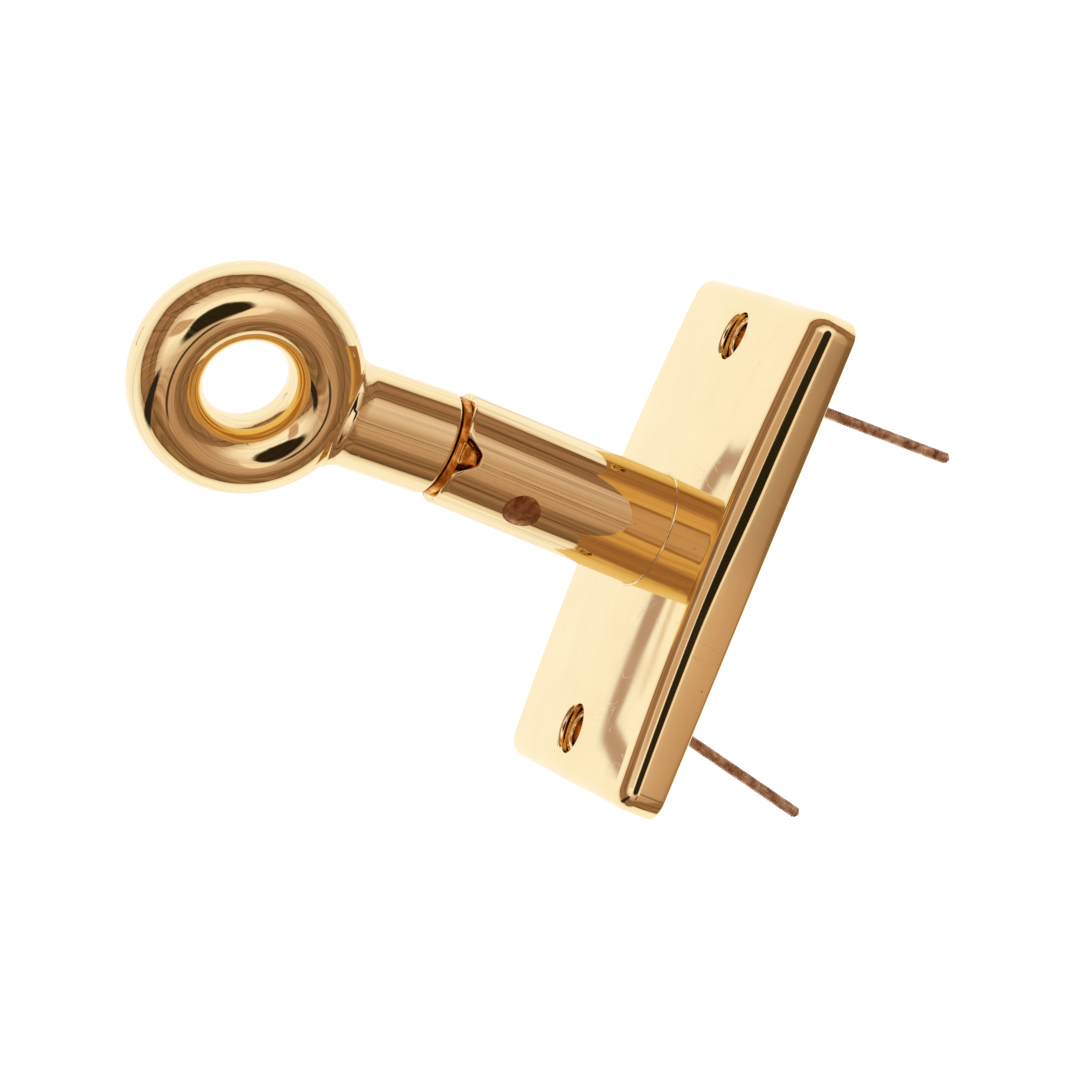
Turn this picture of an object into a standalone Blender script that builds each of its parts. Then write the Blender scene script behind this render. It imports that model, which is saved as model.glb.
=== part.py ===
"""Sash lift handle: a ring on a stem that swivels in a barrel, on a crowned screw-on plate.

The frame is that of the fitted handle. The origin is the middle of the plate's back face, X runs
along the plate, +Z is up and the stem stands out along -Y. A "depth" in this file is a distance
out from the back face, so a point at depth d lies at y = -d.
"""

import math

import bmesh
import bpy
from mathutils import Euler, Matrix, Vector

MM = 0.001

# Plate: thickness is at the middle, and the crowns are how far the front falls by its edges.
PLATE_LENGTH = 64.5 * MM
PLATE_WIDTH = 43.0 * MM
PLATE_THICKNESS = 7.4 * MM
CROWN_ALONG = 1.1 * MM
CROWN_ACROSS = 0.9 * MM
PLATE_CORNER_RADIUS = 2.6 * MM
FRONT_FILLET = 2.2 * MM
BACK_FILLET = 0.7 * MM

# Screw holes through the plate, each with a counterbore and a pressed-in ferrule.
HOLE_SPACING = 52.0 * MM
COUNTERBORE_RADIUS = 3.05 * MM
COUNTERBORE_DEPTH = 1.8 * MM
FERRULE_LIP_WIDTH = 0.45 * MM
FERRULE_LIP_HEIGHT = 0.5 * MM
FERRULE_BORE_RADIUS = 1.95 * MM
FERRULE_WALL = 0.4 * MM

# Threaded studs in the plate's back: where each leaves the back face, and how far it splays.
STUD_RADIUS = 0.72 * MM
STUD_LENGTH = 26.3 * MM
STUD_ROOT_DEPTH = 3.4 * MM
STUD_TIP_CHAMFER = 0.35 * MM
LEFT_STUD_X = -21.4 * MM
LEFT_STUD_SPLAY = math.radians(-2.0)
RIGHT_STUD_X = 20.3 * MM
RIGHT_STUD_SPLAY = math.radians(11.6)

# Barrel: a tube seated in the plate, with a spigot that a nut holds in the plate's back.
BARREL_RADIUS = 7.1 * MM
BARREL_WALL = 1.6 * MM
BARREL_REACH = 27.8 * MM
BARREL_SEAT_DEPTH = 0.5 * MM
SPIGOT_SHOULDER = 1.5 * MM
SPIGOT_WALL = 1.8 * MM
SPIGOT_SETBACK = 0.5 * MM
BORE_FLOOR_RISE = 5.0 * MM
NOTCH_WIDTH = 4.0 * MM
NOTCH_DEPTH = 2.25 * MM
MOUTH_EDGE = 0.3 * MM

# Nut and washer in the recess behind the barrel.
NUT_RIM = 2.9 * MM
NUT_THICKNESS = 2.5 * MM
NUT_SLOT_WIDTH = 1.6 * MM
NUT_SLOT_DEPTH = 0.8 * MM
LOCK_WASHER_THICKNESS = 0.6 * MM

# Plug, spring and button behind the spindle.
PLUG_THICKNESS = 3.0 * MM
PLUG_SLOT_WIDTH = 1.0 * MM
PLUG_SLOT_DEPTH = 1.2 * MM
BUTTON_THICKNESS = 1.4 * MM
BUTTON_NOSE_RADIUS = 1.5 * MM
SPRING_WIRE_RADIUS = 0.3 * MM
SPRING_TURNS = 5

# Bushes, spindle, washer and the pin that keeps the spindle in.
FRONT_BUSH_LENGTH = 5.0 * MM
REAR_BUSH_LENGTH = 5.8 * MM
SPINDLE_RADIUS = 3.4 * MM
SPINDLE_REAR_RADIUS = 2.6 * MM
SPINDLE_GROOVE_RADIUS = 2.1 * MM
SPINDLE_SCREW_RADIUS = 2.9 * MM
SPINDLE_SCREW_LENGTH = 8.5 * MM
PIN_RADIUS = 2.3 * MM
PIN_TIP_RADIUS = 1.5 * MM
PIN_FROM_MOUTH = 9.7 * MM
PIN_TURN = math.radians(33.6)
WASHER_MARGIN = 0.25 * MM

# Ring head: the mouth gap parts it from the barrel, and its stem leans towards +X. The ring is oval
# in section, nearly as thick along its own axis as the stem, and narrower across.
MOUTH_GAP = 1.5 * MM
STEM_RADIUS = 6.5 * MM
STEM_LEAN = math.radians(3.3)
RING_REACH = 27.1 * MM
RING_RADIUS = 9.83 * MM
RING_HALF_WIDTH = 4.6 * MM
RING_HALF_THICKNESS = 6.3 * MM
RING_TURN = math.radians(16.5)
STEM_SHOULDER = 2.5 * MM
STEM_NECK_RADIUS = 5.6 * MM
STEM_BURY = 1.0 * MM

# Clearances: pieces that touch, and pieces that run past each other.
SEAT_GAP = 0.25 * MM
RUNNING_GAP = 0.25 * MM
PAST = 1.0 * MM

# How finely round shapes are divided.
FINE_STEPS = 64
COARSE_STEPS = 40
RING_STEPS = 64
RING_TUBE_STEPS = 24
CROWN_STEPS_ALONG = 12
CROWN_STEPS_ACROSS = 8

# Depths and radii worked out from the sizes above.
MOUTH_DEPTH = PLATE_THICKNESS + BARREL_REACH
SEAT_FLOOR_DEPTH = PLATE_THICKNESS - BARREL_SEAT_DEPTH
SHOULDER_DEPTH = SEAT_FLOOR_DEPTH + SEAT_GAP
BORE_RADIUS = BARREL_RADIUS - BARREL_WALL
BORE_FLOOR_DEPTH = SHOULDER_DEPTH + BORE_FLOOR_RISE
SPIGOT_RADIUS = BARREL_RADIUS - SPIGOT_SHOULDER
SPIGOT_BORE_RADIUS = SPIGOT_RADIUS - SPIGOT_WALL
NUT_DEPTH = SPIGOT_SETBACK
NUT_FRONT_DEPTH = NUT_DEPTH + NUT_THICKNESS
LOCK_WASHER_DEPTH = NUT_FRONT_DEPTH + SEAT_GAP
RECESS_DEPTH = LOCK_WASHER_DEPTH + LOCK_WASHER_THICKNESS + SEAT_GAP
NUT_RADIUS = SPIGOT_RADIUS + SEAT_GAP + NUT_RIM
STEM_END_DEPTH = MOUTH_DEPTH + MOUTH_GAP
PIN_DEPTH = MOUTH_DEPTH - PIN_FROM_MOUTH
REAR_BUSH_DEPTH = BORE_FLOOR_DEPTH + SEAT_GAP
REAR_BUSH_FRONT_DEPTH = REAR_BUSH_DEPTH + REAR_BUSH_LENGTH
SPINDLE_END_DEPTH = REAR_BUSH_DEPTH
BUTTON_NOSE_DEPTH = SPINDLE_END_DEPTH - RUNNING_GAP
BUTTON_FRONT_DEPTH = BORE_FLOOR_DEPTH - SEAT_GAP
BUTTON_BACK_DEPTH = BUTTON_FRONT_DEPTH - BUTTON_THICKNESS
PLUG_BACK_DEPTH = SPIGOT_SETBACK
PLUG_FRONT_DEPTH = PLUG_BACK_DEPTH + PLUG_THICKNESS

# Turning a piece this way stands its own +Z along the outward direction, -Y.
OUTWARD = (math.pi / 2, 0.0, 0.0)


def clear_scene():
    """Remove every object, so that the file holds only the handle."""
    for obj in list(bpy.data.objects):
        bpy.data.objects.remove(obj, do_unlink=True)


def new_collection(name):
    collection = bpy.data.collections.new(name)
    bpy.context.scene.collection.children.link(collection)
    return collection


def metal(name, colour, roughness):
    """A bare metal finish."""
    material = bpy.data.materials.new(name)
    material.use_nodes = True
    shader = material.node_tree.nodes["Principled BSDF"]
    shader.inputs["Base Color"].default_value = (*colour, 1.0)
    shader.inputs["Metallic"].default_value = 1.0
    shader.inputs["Roughness"].default_value = roughness
    return material


def place(mesh, name, collection, material=None, location=(0, 0, 0), rotation=(0, 0, 0)):
    """Put a mesh in the scene as a smooth-shaded object with crisp corners."""
    obj = bpy.data.objects.new(name, mesh)
    obj.location = location
    obj.rotation_euler = rotation
    collection.objects.link(obj)
    if material:
        mesh.materials.append(material)
    mesh.shade_smooth()
    mesh.set_sharp_from_angle(angle=math.radians(35))
    return obj


def mesh_from(bm, name):
    mesh = bpy.data.meshes.new(name)
    bm.to_mesh(mesh)
    bm.free()
    return mesh


def turned(name, profile, collection, material=None, steps=COARSE_STEPS, closed=False, **placing):
    """Turn a profile of (radius, height) points, given down its outer side, about its own Z."""
    bm = bmesh.new()
    verts = [bm.verts.new((radius, 0.0, height)) for radius, height in profile]
    for first, second in zip(verts, verts[1:]):
        bm.edges.new((first, second))
    if closed:
        bm.edges.new((verts[-1], verts[0]))
    obj = place(mesh_from(bm, name), name, collection, material, **placing)
    screw = obj.modifiers.new("turn", "SCREW")
    screw.steps = steps
    screw.render_steps = steps
    screw.use_merge_vertices = True
    screw.merge_threshold = 1e-6
    screw.use_smooth_shade = True
    return obj


def rod_profile(radius, low, high, chamfer=0.0):
    """A solid rod from one height to another, with its top edge chamfered."""
    top = [(0.0, high), (radius - chamfer, high)]
    if chamfer:
        top.append((radius, high - chamfer))
    return top + [(radius, low), (0.0, low)]


def tube_profile(outer, inner, low, high):
    """A plain tube from one height to another."""
    return [(outer, high), (outer, low), (inner, low), (inner, high)]


def box(name, size, collection, **placing):
    """A box of the given size about its own middle."""
    bm = bmesh.new()
    bmesh.ops.create_cube(bm, size=1.0)
    bmesh.ops.scale(bm, vec=size, verts=bm.verts)
    return place(mesh_from(bm, name), name, collection, **placing)


def hide_as_tool(obj):
    obj.hide_render = True
    obj.display_type = "WIRE"
    return obj


def boolean(obj, tool, operation):
    """Cut a tool from an object, or join it on."""
    modifier = obj.modifiers.new(f"{operation.lower()}_{tool.name}", "BOOLEAN")
    modifier.operation = operation
    modifier.solver = "EXACT"
    modifier.object = hide_as_tool(tool)


def at_depth(depth, x=0.0, z=0.0):
    return Vector((x, -depth, z))


def crown_drop(x, z):
    """How far the plate's front lies behind its middle at a point."""
    along = CROWN_ALONG * (2 * x / PLATE_LENGTH) ** 2
    across = CROWN_ACROSS * (2 * z / PLATE_WIDTH) ** 2
    return along + across


def edges_at(bm, test):
    return [edge for edge in bm.edges if all(test(vert.co) for vert in edge.verts)]


def round_edges(bm, edges, width, segments):
    bmesh.ops.bevel(
        bm, geom=edges, offset=width, segments=segments, affect="EDGES", profile=0.5, material=-1
    )


def plate_blank():
    """A block with rounded corners and edges, whose front is then crowned both ways."""
    bm = bmesh.new()
    bmesh.ops.create_cube(bm, size=1.0)
    bmesh.ops.scale(bm, vec=(PLATE_LENGTH, PLATE_THICKNESS, PLATE_WIDTH), verts=bm.verts)
    bmesh.ops.translate(bm, vec=at_depth(PLATE_THICKNESS / 2), verts=bm.verts)
    upright = [e for e in bm.edges if abs(e.verts[0].co.y - e.verts[1].co.y) > PLATE_THICKNESS / 2]
    round_edges(bm, upright, PLATE_CORNER_RADIUS, 6)
    round_edges(bm, edges_at(bm, lambda co: co.y < -PLATE_THICKNESS * 0.99), FRONT_FILLET, 4)
    round_edges(bm, edges_at(bm, lambda co: co.y > -PLATE_THICKNESS * 0.01), BACK_FILLET, 2)
    cuts = [(PLATE_LENGTH * (i / CROWN_STEPS_ALONG - 0.5), (1, 0, 0)) for i in range(1, CROWN_STEPS_ALONG)]
    cuts += [(PLATE_WIDTH * (i / CROWN_STEPS_ACROSS - 0.5), (0, 0, 1)) for i in range(1, CROWN_STEPS_ACROSS)]
    for distance, normal in cuts:
        everything = bm.verts[:] + bm.edges[:] + bm.faces[:]
        bmesh.ops.bisect_plane(bm, geom=everything, plane_co=Vector(normal) * distance, plane_no=normal)
    for vert in bm.verts:
        vert.co.y *= 1 - crown_drop(vert.co.x, vert.co.z) / PLATE_THICKNESS
    return mesh_from(bm, "face_plate")


def stud_direction(splay):
    return Vector((math.sin(splay), math.cos(splay), 0.0))


def make_face_plate(parts, tools, brass):
    plate = place(plate_blank(), "face_plate", parts, brass)
    seat = BARREL_RADIUS + SEAT_GAP
    spigot_hole = SPIGOT_RADIUS + SEAT_GAP
    recess = NUT_RADIUS + SEAT_GAP
    centre = [(0, PLATE_THICKNESS + PAST), (seat, PLATE_THICKNESS + PAST), (seat, SEAT_FLOOR_DEPTH)]
    centre += [(spigot_hole, SEAT_FLOOR_DEPTH), (spigot_hole, RECESS_DEPTH), (recess, RECESS_DEPTH)]
    centre += [(recess, -PAST), (0, -PAST)]
    tool = turned("barrel_seat", centre, tools, steps=FINE_STEPS, rotation=OUTWARD)
    boolean(plate, tool, "DIFFERENCE")
    floor = counterbore_floor_depth()
    through = FERRULE_BORE_RADIUS + FERRULE_WALL + SEAT_GAP
    hole = [(0, PLATE_THICKNESS + PAST), (COUNTERBORE_RADIUS, PLATE_THICKNESS + PAST)]
    hole += [(COUNTERBORE_RADIUS, floor), (through, floor), (through, -PAST), (0, -PAST)]
    for side, x in hole_places():
        tool = turned(f"screw_hole_{side}", hole, tools, location=at_depth(0, x), rotation=OUTWARD)
        boolean(plate, tool, "DIFFERENCE")
    for side, x, splay in stud_places():
        socket = rod_profile(STUD_RADIUS + SEAT_GAP, -STUD_ROOT_DEPTH - SEAT_GAP, PAST)
        tool = turned(f"stud_hole_{side}", socket, tools, steps=16, **stud_placing(x, splay))
        boolean(plate, tool, "DIFFERENCE")


def counterbore_floor_depth():
    surface = PLATE_THICKNESS - crown_drop(HOLE_SPACING / 2, 0.0)
    return surface - COUNTERBORE_DEPTH


def hole_places():
    return (("left", -HOLE_SPACING / 2), ("right", HOLE_SPACING / 2))


def stud_places():
    return (("left", LEFT_STUD_X, LEFT_STUD_SPLAY), ("right", RIGHT_STUD_X, RIGHT_STUD_SPLAY))


def stud_placing(x, splay):
    """Stand a turned piece at a stud's place, with its own +Z along the stud and away from the plate."""
    turn = stud_direction(splay).to_track_quat("Z", "Y").to_euler()
    return {"location": at_depth(0, x), "rotation": turn}


def make_ferrules(parts, bronze):
    """Eyelets that line the screw holes, each with a lip on the counterbore's floor."""
    lip_low = counterbore_floor_depth() + SEAT_GAP
    lip_high = lip_low + FERRULE_LIP_HEIGHT
    outer = FERRULE_BORE_RADIUS + FERRULE_WALL
    lip = outer + FERRULE_LIP_WIDTH
    profile = [(lip, lip_high), (lip, lip_low), (outer, lip_low), (outer, SPIGOT_SETBACK)]
    profile += [(FERRULE_BORE_RADIUS, SPIGOT_SETBACK), (FERRULE_BORE_RADIUS, lip_high)]
    for side, x in hole_places():
        turned(
            f"hole_ferrule_{side}", profile, parts, bronze, closed=True,
            location=at_depth(0, x), rotation=OUTWARD,
        )


def make_studs(parts, copper):
    profile = rod_profile(STUD_RADIUS, -STUD_ROOT_DEPTH, STUD_LENGTH, STUD_TIP_CHAMFER)
    for side, x, splay in stud_places():
        turned(f"fixing_stud_{side}", profile, parts, copper, steps=20, **stud_placing(x, splay))


def make_barrel(parts, tools, brass):
    """The tube, its spigot, the notch in its mouth and the hole for the retaining pin."""
    profile = [
        (BARREL_RADIUS - MOUTH_EDGE, MOUTH_DEPTH),
        (BARREL_RADIUS, MOUTH_DEPTH - MOUTH_EDGE),
        (BARREL_RADIUS, SHOULDER_DEPTH),
        (SPIGOT_RADIUS, SHOULDER_DEPTH),
        (SPIGOT_RADIUS, SPIGOT_SETBACK),
        (SPIGOT_BORE_RADIUS, SPIGOT_SETBACK),
        (SPIGOT_BORE_RADIUS, BORE_FLOOR_DEPTH),
        (BORE_RADIUS, BORE_FLOOR_DEPTH),
        (BORE_RADIUS, MOUTH_DEPTH),
    ]
    barrel = turned("barrel", profile, parts, brass, steps=FINE_STEPS, closed=True, rotation=OUTWARD)
    half = NOTCH_WIDTH / 2
    notch_middle = MOUTH_DEPTH - NOTCH_DEPTH + half
    through_wall = rod_profile(half, BORE_RADIUS - PAST, BARREL_RADIUS + PAST)
    round_end = turned("notch_end", through_wall, tools, steps=24, location=at_depth(notch_middle))
    boolean(barrel, round_end, "DIFFERENCE")
    slot_reach = NOTCH_DEPTH - half + PAST
    slot_size = (NOTCH_WIDTH, slot_reach, BARREL_WALL + 2 * PAST)
    slot_place = at_depth(notch_middle + slot_reach / 2, z=BARREL_RADIUS - BARREL_WALL / 2)
    boolean(barrel, box("notch_slot", slot_size, tools, location=slot_place), "DIFFERENCE")
    hole = rod_profile(PIN_RADIUS + SEAT_GAP, BORE_RADIUS - PAST, BARREL_RADIUS + PAST)
    boolean(barrel, turned("pin_hole", hole, tools, steps=24, **pin_placing()), "DIFFERENCE")


def pin_placing():
    """Stand a turned piece across the barrel, with its own +Z along the retaining pin."""
    return {"location": at_depth(PIN_DEPTH), "rotation": (0.0, PIN_TURN, 0.0)}


def make_retaining_pin(parts, tools, copper):
    """A stepped pin through the barrel's wall, filed flush with it, whose tip sits in the groove."""
    head_low = BORE_RADIUS + SEAT_GAP
    tip_low = SPINDLE_GROOVE_RADIUS + RUNNING_GAP
    profile = [(0, BARREL_RADIUS + PAST), (PIN_RADIUS, BARREL_RADIUS + PAST), (PIN_RADIUS, head_low)]
    profile += [(PIN_TIP_RADIUS, head_low), (PIN_TIP_RADIUS, tip_low), (0, tip_low)]
    pin = turned("retaining_pin", profile, parts, copper, steps=32, **pin_placing())
    reach = 2 * PIN_RADIUS
    surface = rod_profile(BARREL_RADIUS, PIN_DEPTH - reach, PIN_DEPTH + reach)
    tool = turned("pin_surface", surface, tools, steps=2 * FINE_STEPS, rotation=OUTWARD)
    boolean(pin, tool, "INTERSECT")


def make_back_nut(parts, tools, brass, steel):
    """The round nut on the spigot, with spanner slots, and the washer under it."""
    inner = SPIGOT_RADIUS + SEAT_GAP
    nut_profile = tube_profile(NUT_RADIUS, inner, NUT_DEPTH, NUT_FRONT_DEPTH)
    nut = turned("barrel_back_nut", nut_profile, parts, brass, steps=48, closed=True, rotation=OUTWARD)
    slot = (2 * (NUT_RADIUS + PAST), 2 * NUT_SLOT_DEPTH, NUT_SLOT_WIDTH)
    for index in range(2):
        turn = (0.0, index * math.pi / 2, 0.0)
        tool = box(f"nut_slot_{index}", slot, tools, location=at_depth(NUT_DEPTH), rotation=turn)
        boolean(nut, tool, "DIFFERENCE")
    low = LOCK_WASHER_DEPTH
    washer = tube_profile(NUT_RADIUS - SEAT_GAP, inner, low, low + LOCK_WASHER_THICKNESS)
    turned("barrel_lock_washer", washer, parts, steel, closed=True, rotation=OUTWARD)


def make_back_plug(parts, tools, brass):
    radius = SPIGOT_BORE_RADIUS - SEAT_GAP
    profile = rod_profile(radius, PLUG_BACK_DEPTH, PLUG_FRONT_DEPTH)
    plug = turned("back_plug", profile, parts, brass, rotation=OUTWARD)
    slot = (2 * (radius + PAST), 2 * PLUG_SLOT_DEPTH, PLUG_SLOT_WIDTH)
    tool = box("plug_slot", slot, tools, location=at_depth(PLUG_BACK_DEPTH))
    boolean(plug, tool, "DIFFERENCE")


def make_friction_set(parts, bronze, steel):
    """The button that bears on the spindle's end, and the coil spring between it and the plug."""
    radius = SPIGOT_BORE_RADIUS - RUNNING_GAP
    profile = [
        (0.0, BUTTON_NOSE_DEPTH),
        (BUTTON_NOSE_RADIUS, BUTTON_NOSE_DEPTH),
        (BUTTON_NOSE_RADIUS, BUTTON_FRONT_DEPTH),
        (radius, BUTTON_FRONT_DEPTH),
        (radius, BUTTON_BACK_DEPTH),
        (0.0, BUTTON_BACK_DEPTH),
    ]
    turned("friction_button", profile, parts, bronze, rotation=OUTWARD)
    low = PLUG_FRONT_DEPTH + SEAT_GAP + SPRING_WIRE_RADIUS
    high = BUTTON_BACK_DEPTH - SEAT_GAP - SPRING_WIRE_RADIUS
    coil_radius = radius - SPRING_WIRE_RADIUS - RUNNING_GAP
    coil(parts, steel, coil_radius, low, high)


def coil(parts, material, radius, low, high):
    """A round-wire coil along the barrel's axis."""
    steps_per_turn = 16
    count = SPRING_TURNS * steps_per_turn + 1
    curve = bpy.data.curves.new("friction_spring", "CURVE")
    curve.dimensions = "3D"
    curve.bevel_depth = SPRING_WIRE_RADIUS
    curve.bevel_resolution = 2
    curve.use_fill_caps = True
    spline = curve.splines.new("POLY")
    spline.points.add(count - 1)
    for index, point in enumerate(spline.points):
        angle = math.tau * index / steps_per_turn
        depth = low + (high - low) * index / (count - 1)
        point.co = (radius * math.cos(angle), -depth, radius * math.sin(angle), 1.0)
    curve.materials.append(material)
    spring = bpy.data.objects.new("friction_spring", curve)
    parts.objects.link(spring)


def make_bushes(parts, bronze):
    outer = BORE_RADIUS - SEAT_GAP
    front_high = MOUTH_DEPTH - SEAT_GAP
    front = tube_profile(outer, SPINDLE_RADIUS + RUNNING_GAP, front_high - FRONT_BUSH_LENGTH, front_high)
    turned("front_bush", front, parts, bronze, closed=True, rotation=OUTWARD)
    rear = tube_profile(
        outer, SPINDLE_REAR_RADIUS + RUNNING_GAP, REAR_BUSH_DEPTH, REAR_BUSH_FRONT_DEPTH
    )
    turned("rear_bush", rear, parts, bronze, closed=True, rotation=OUTWARD)


def make_thrust_washer(parts, tools, bronze):
    """The washer in the mouth gap, kept from turning by a tab in the barrel's notch."""
    low = MOUTH_DEPTH + RUNNING_GAP / 2
    high = STEM_END_DEPTH - RUNNING_GAP
    outer = STEM_RADIUS - WASHER_MARGIN
    profile = tube_profile(outer, SPINDLE_RADIUS + RUNNING_GAP, low, high)
    washer = turned("thrust_washer", profile, parts, bronze, steps=48, closed=True, rotation=OUTWARD)
    tab_low = MOUTH_DEPTH - NOTCH_DEPTH + 2 * SEAT_GAP
    tab_high = (low + high) / 2
    tab_inner = BORE_RADIUS + SEAT_GAP / 2
    tab_size = (NOTCH_WIDTH - 5 * SEAT_GAP, tab_high - tab_low, outer - tab_inner)
    tab_place = at_depth((tab_high + tab_low) / 2, z=(outer + tab_inner) / 2)
    boolean(washer, box("washer_tab", tab_size, tools, location=tab_place), "UNION")


def make_spindle(parts, steel, swivel):
    """The shaft: screwed into the stem in front, grooved for the pin, with a thinner rear journal."""
    groove_half = PIN_TIP_RADIUS + RUNNING_GAP
    step = REAR_BUSH_FRONT_DEPTH + RUNNING_GAP
    front = STEM_END_DEPTH - RUNNING_GAP
    screw_end = STEM_END_DEPTH + SPINDLE_SCREW_LENGTH
    profile = [
        (0.0, screw_end),
        (SPINDLE_SCREW_RADIUS, screw_end),
        (SPINDLE_SCREW_RADIUS, front),
        (SPINDLE_RADIUS, front),
        (SPINDLE_RADIUS, PIN_DEPTH + groove_half),
        (SPINDLE_GROOVE_RADIUS, PIN_DEPTH + groove_half),
        (SPINDLE_GROOVE_RADIUS, PIN_DEPTH - groove_half),
        (SPINDLE_RADIUS, PIN_DEPTH - groove_half),
        (SPINDLE_RADIUS, step),
        (SPINDLE_REAR_RADIUS, step),
        (SPINDLE_REAR_RADIUS, SPINDLE_END_DEPTH),
        (0.0, SPINDLE_END_DEPTH),
    ]
    from_mouth = [(radius, depth - MOUTH_DEPTH) for radius, depth in profile]
    spindle = turned("swivel_spindle", from_mouth, parts, steel, rotation=OUTWARD)
    spindle.parent = swivel


def make_ring_head(parts, tools, brass, swivel):
    """One casting: the ring, and the stem that leans a little from the swivel's axis."""
    tip = RING_REACH - RING_RADIUS + STEM_BURY
    shoulder = tip - STEM_SHOULDER
    profile = [(0, tip), (STEM_NECK_RADIUS, tip), (STEM_RADIUS, shoulder), (STEM_RADIUS, 0), (0, 0)]
    lean = (math.pi / 2, 0.0, STEM_LEAN)
    head = turned("ring_head", profile, parts, brass, steps=FINE_STEPS, rotation=lean)
    head.parent = swivel
    bpy.ops.mesh.primitive_torus_add(
        major_radius=RING_RADIUS,
        minor_radius=RING_HALF_WIDTH,
        major_segments=RING_STEPS,
        minor_segments=RING_TUBE_STEPS,
    )
    ring = bpy.context.active_object
    ring.name = "ring_body"
    ring.data.transform(Matrix.Diagonal((1.0, 1.0, RING_HALF_THICKNESS / RING_HALF_WIDTH, 1.0)))
    for collection in list(ring.users_collection):
        collection.objects.unlink(ring)
    tools.objects.link(ring)
    turn = Euler((0.0, RING_TURN, STEM_LEAN)).to_matrix().to_4x4()
    along = Vector((math.sin(STEM_LEAN), -math.cos(STEM_LEAN), 0.0)) * RING_REACH
    ring.matrix_world = Matrix.Translation(at_depth(MOUTH_DEPTH) + along) @ turn
    boolean(head, ring, "UNION")
    reach = 4 * STEM_RADIUS
    trim_place = at_depth(STEM_END_DEPTH - reach / 2)
    boolean(head, box("stem_end_trim", (reach, reach, reach), tools, location=trim_place), "DIFFERENCE")
    blind = rod_profile(
        SPINDLE_SCREW_RADIUS + SEAT_GAP, MOUTH_DEPTH, STEM_END_DEPTH + SPINDLE_SCREW_LENGTH + SEAT_GAP
    )
    tool = turned("spindle_socket", blind, tools, rotation=OUTWARD)
    boolean(head, tool, "DIFFERENCE")


def main():
    clear_scene()
    parts = new_collection("sash_lift_handle")
    tools = new_collection("cutters")
    brass = metal("polished_brass", (0.89, 0.66, 0.33), 0.12)
    bronze = metal("tarnished_bronze", (0.44, 0.22, 0.10), 0.35)
    copper = metal("coppered_steel", (0.50, 0.29, 0.21), 0.40)
    steel = metal("bright_steel", (0.60, 0.59, 0.57), 0.30)

    make_face_plate(parts, tools, brass)
    make_ferrules(parts, bronze)
    make_studs(parts, copper)
    make_barrel(parts, tools, brass)
    make_retaining_pin(parts, tools, copper)
    make_back_nut(parts, tools, brass, steel)
    make_back_plug(parts, tools, brass)
    make_friction_set(parts, bronze, steel)
    make_bushes(parts, bronze)
    make_thrust_washer(parts, tools, bronze)

    swivel = bpy.data.objects.new("swivel_axis", None)
    swivel.location = at_depth(MOUTH_DEPTH)
    parts.objects.link(swivel)
    make_spindle(parts, steel, swivel)
    make_ring_head(parts, tools, brass, swivel)


main()
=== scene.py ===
"""Sash lift handle: finished meshes, metal finishes, studio and camera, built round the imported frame.

The frame is that of the fitted handle, in metres: the origin is the middle of the plate's back
face, X runs along the plate, +Z is up and the stem stands out along -Y. A "depth" is a distance
out from the back face, so a point at depth d lies at y = -d.
"""

import logging
import math
from dataclasses import dataclass, field
from enum import Enum
from typing import Any

import bmesh
import bpy
import numpy as np
from mathutils import Euler, Matrix, Vector, noise


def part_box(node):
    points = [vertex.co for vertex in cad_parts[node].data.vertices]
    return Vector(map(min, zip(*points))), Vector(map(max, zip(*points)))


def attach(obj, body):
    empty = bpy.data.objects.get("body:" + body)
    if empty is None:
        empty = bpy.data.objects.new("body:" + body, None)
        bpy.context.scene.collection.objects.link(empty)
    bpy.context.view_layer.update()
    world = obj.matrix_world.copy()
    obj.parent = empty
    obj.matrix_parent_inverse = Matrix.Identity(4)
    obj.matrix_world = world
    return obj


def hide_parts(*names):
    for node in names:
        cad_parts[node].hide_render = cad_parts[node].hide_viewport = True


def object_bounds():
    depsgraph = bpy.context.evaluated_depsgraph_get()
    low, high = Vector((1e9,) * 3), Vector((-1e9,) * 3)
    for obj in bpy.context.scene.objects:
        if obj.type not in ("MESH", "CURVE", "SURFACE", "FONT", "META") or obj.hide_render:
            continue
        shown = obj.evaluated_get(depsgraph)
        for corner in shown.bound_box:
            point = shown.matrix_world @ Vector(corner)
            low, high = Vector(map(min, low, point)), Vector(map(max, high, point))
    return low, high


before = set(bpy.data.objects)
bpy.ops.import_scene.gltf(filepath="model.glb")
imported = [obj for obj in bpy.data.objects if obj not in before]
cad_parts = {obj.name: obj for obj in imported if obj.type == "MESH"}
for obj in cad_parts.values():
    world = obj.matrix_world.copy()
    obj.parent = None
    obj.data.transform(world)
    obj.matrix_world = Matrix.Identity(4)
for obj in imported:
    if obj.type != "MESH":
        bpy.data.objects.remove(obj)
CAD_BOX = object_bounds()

MM = 0.001
LOG = logging.getLogger("sash_lift_handle")
MOUNTING = "mounting"
SWIVEL = "swivel_head"
GRAIN = "grain"
HALF_TURN = 180.0
ALONG_LINES = 0.012  # how far a pattern is compressed along the polishing lines
MERGE = 0.002 * MM
PAST = 1.0 * MM  # how far a cutter goes past what it cuts


class Slot(Enum):
    """The record's material slots."""

    BRASS = "polished_brass"
    BRONZE = "tarnished_bronze"
    COPPER = "coppered_steel"
    STEEL = "bright_steel"


class Lay(Enum):
    """Which way the polishing lines of a brass piece run."""

    ALONG_STEM = "along_stem"
    ALONG_PLATE = "along_plate"
    GRAIN_ATTRIBUTE = "grain_attribute"


# ---------------------------------------------------------------------------------- small tools


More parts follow.
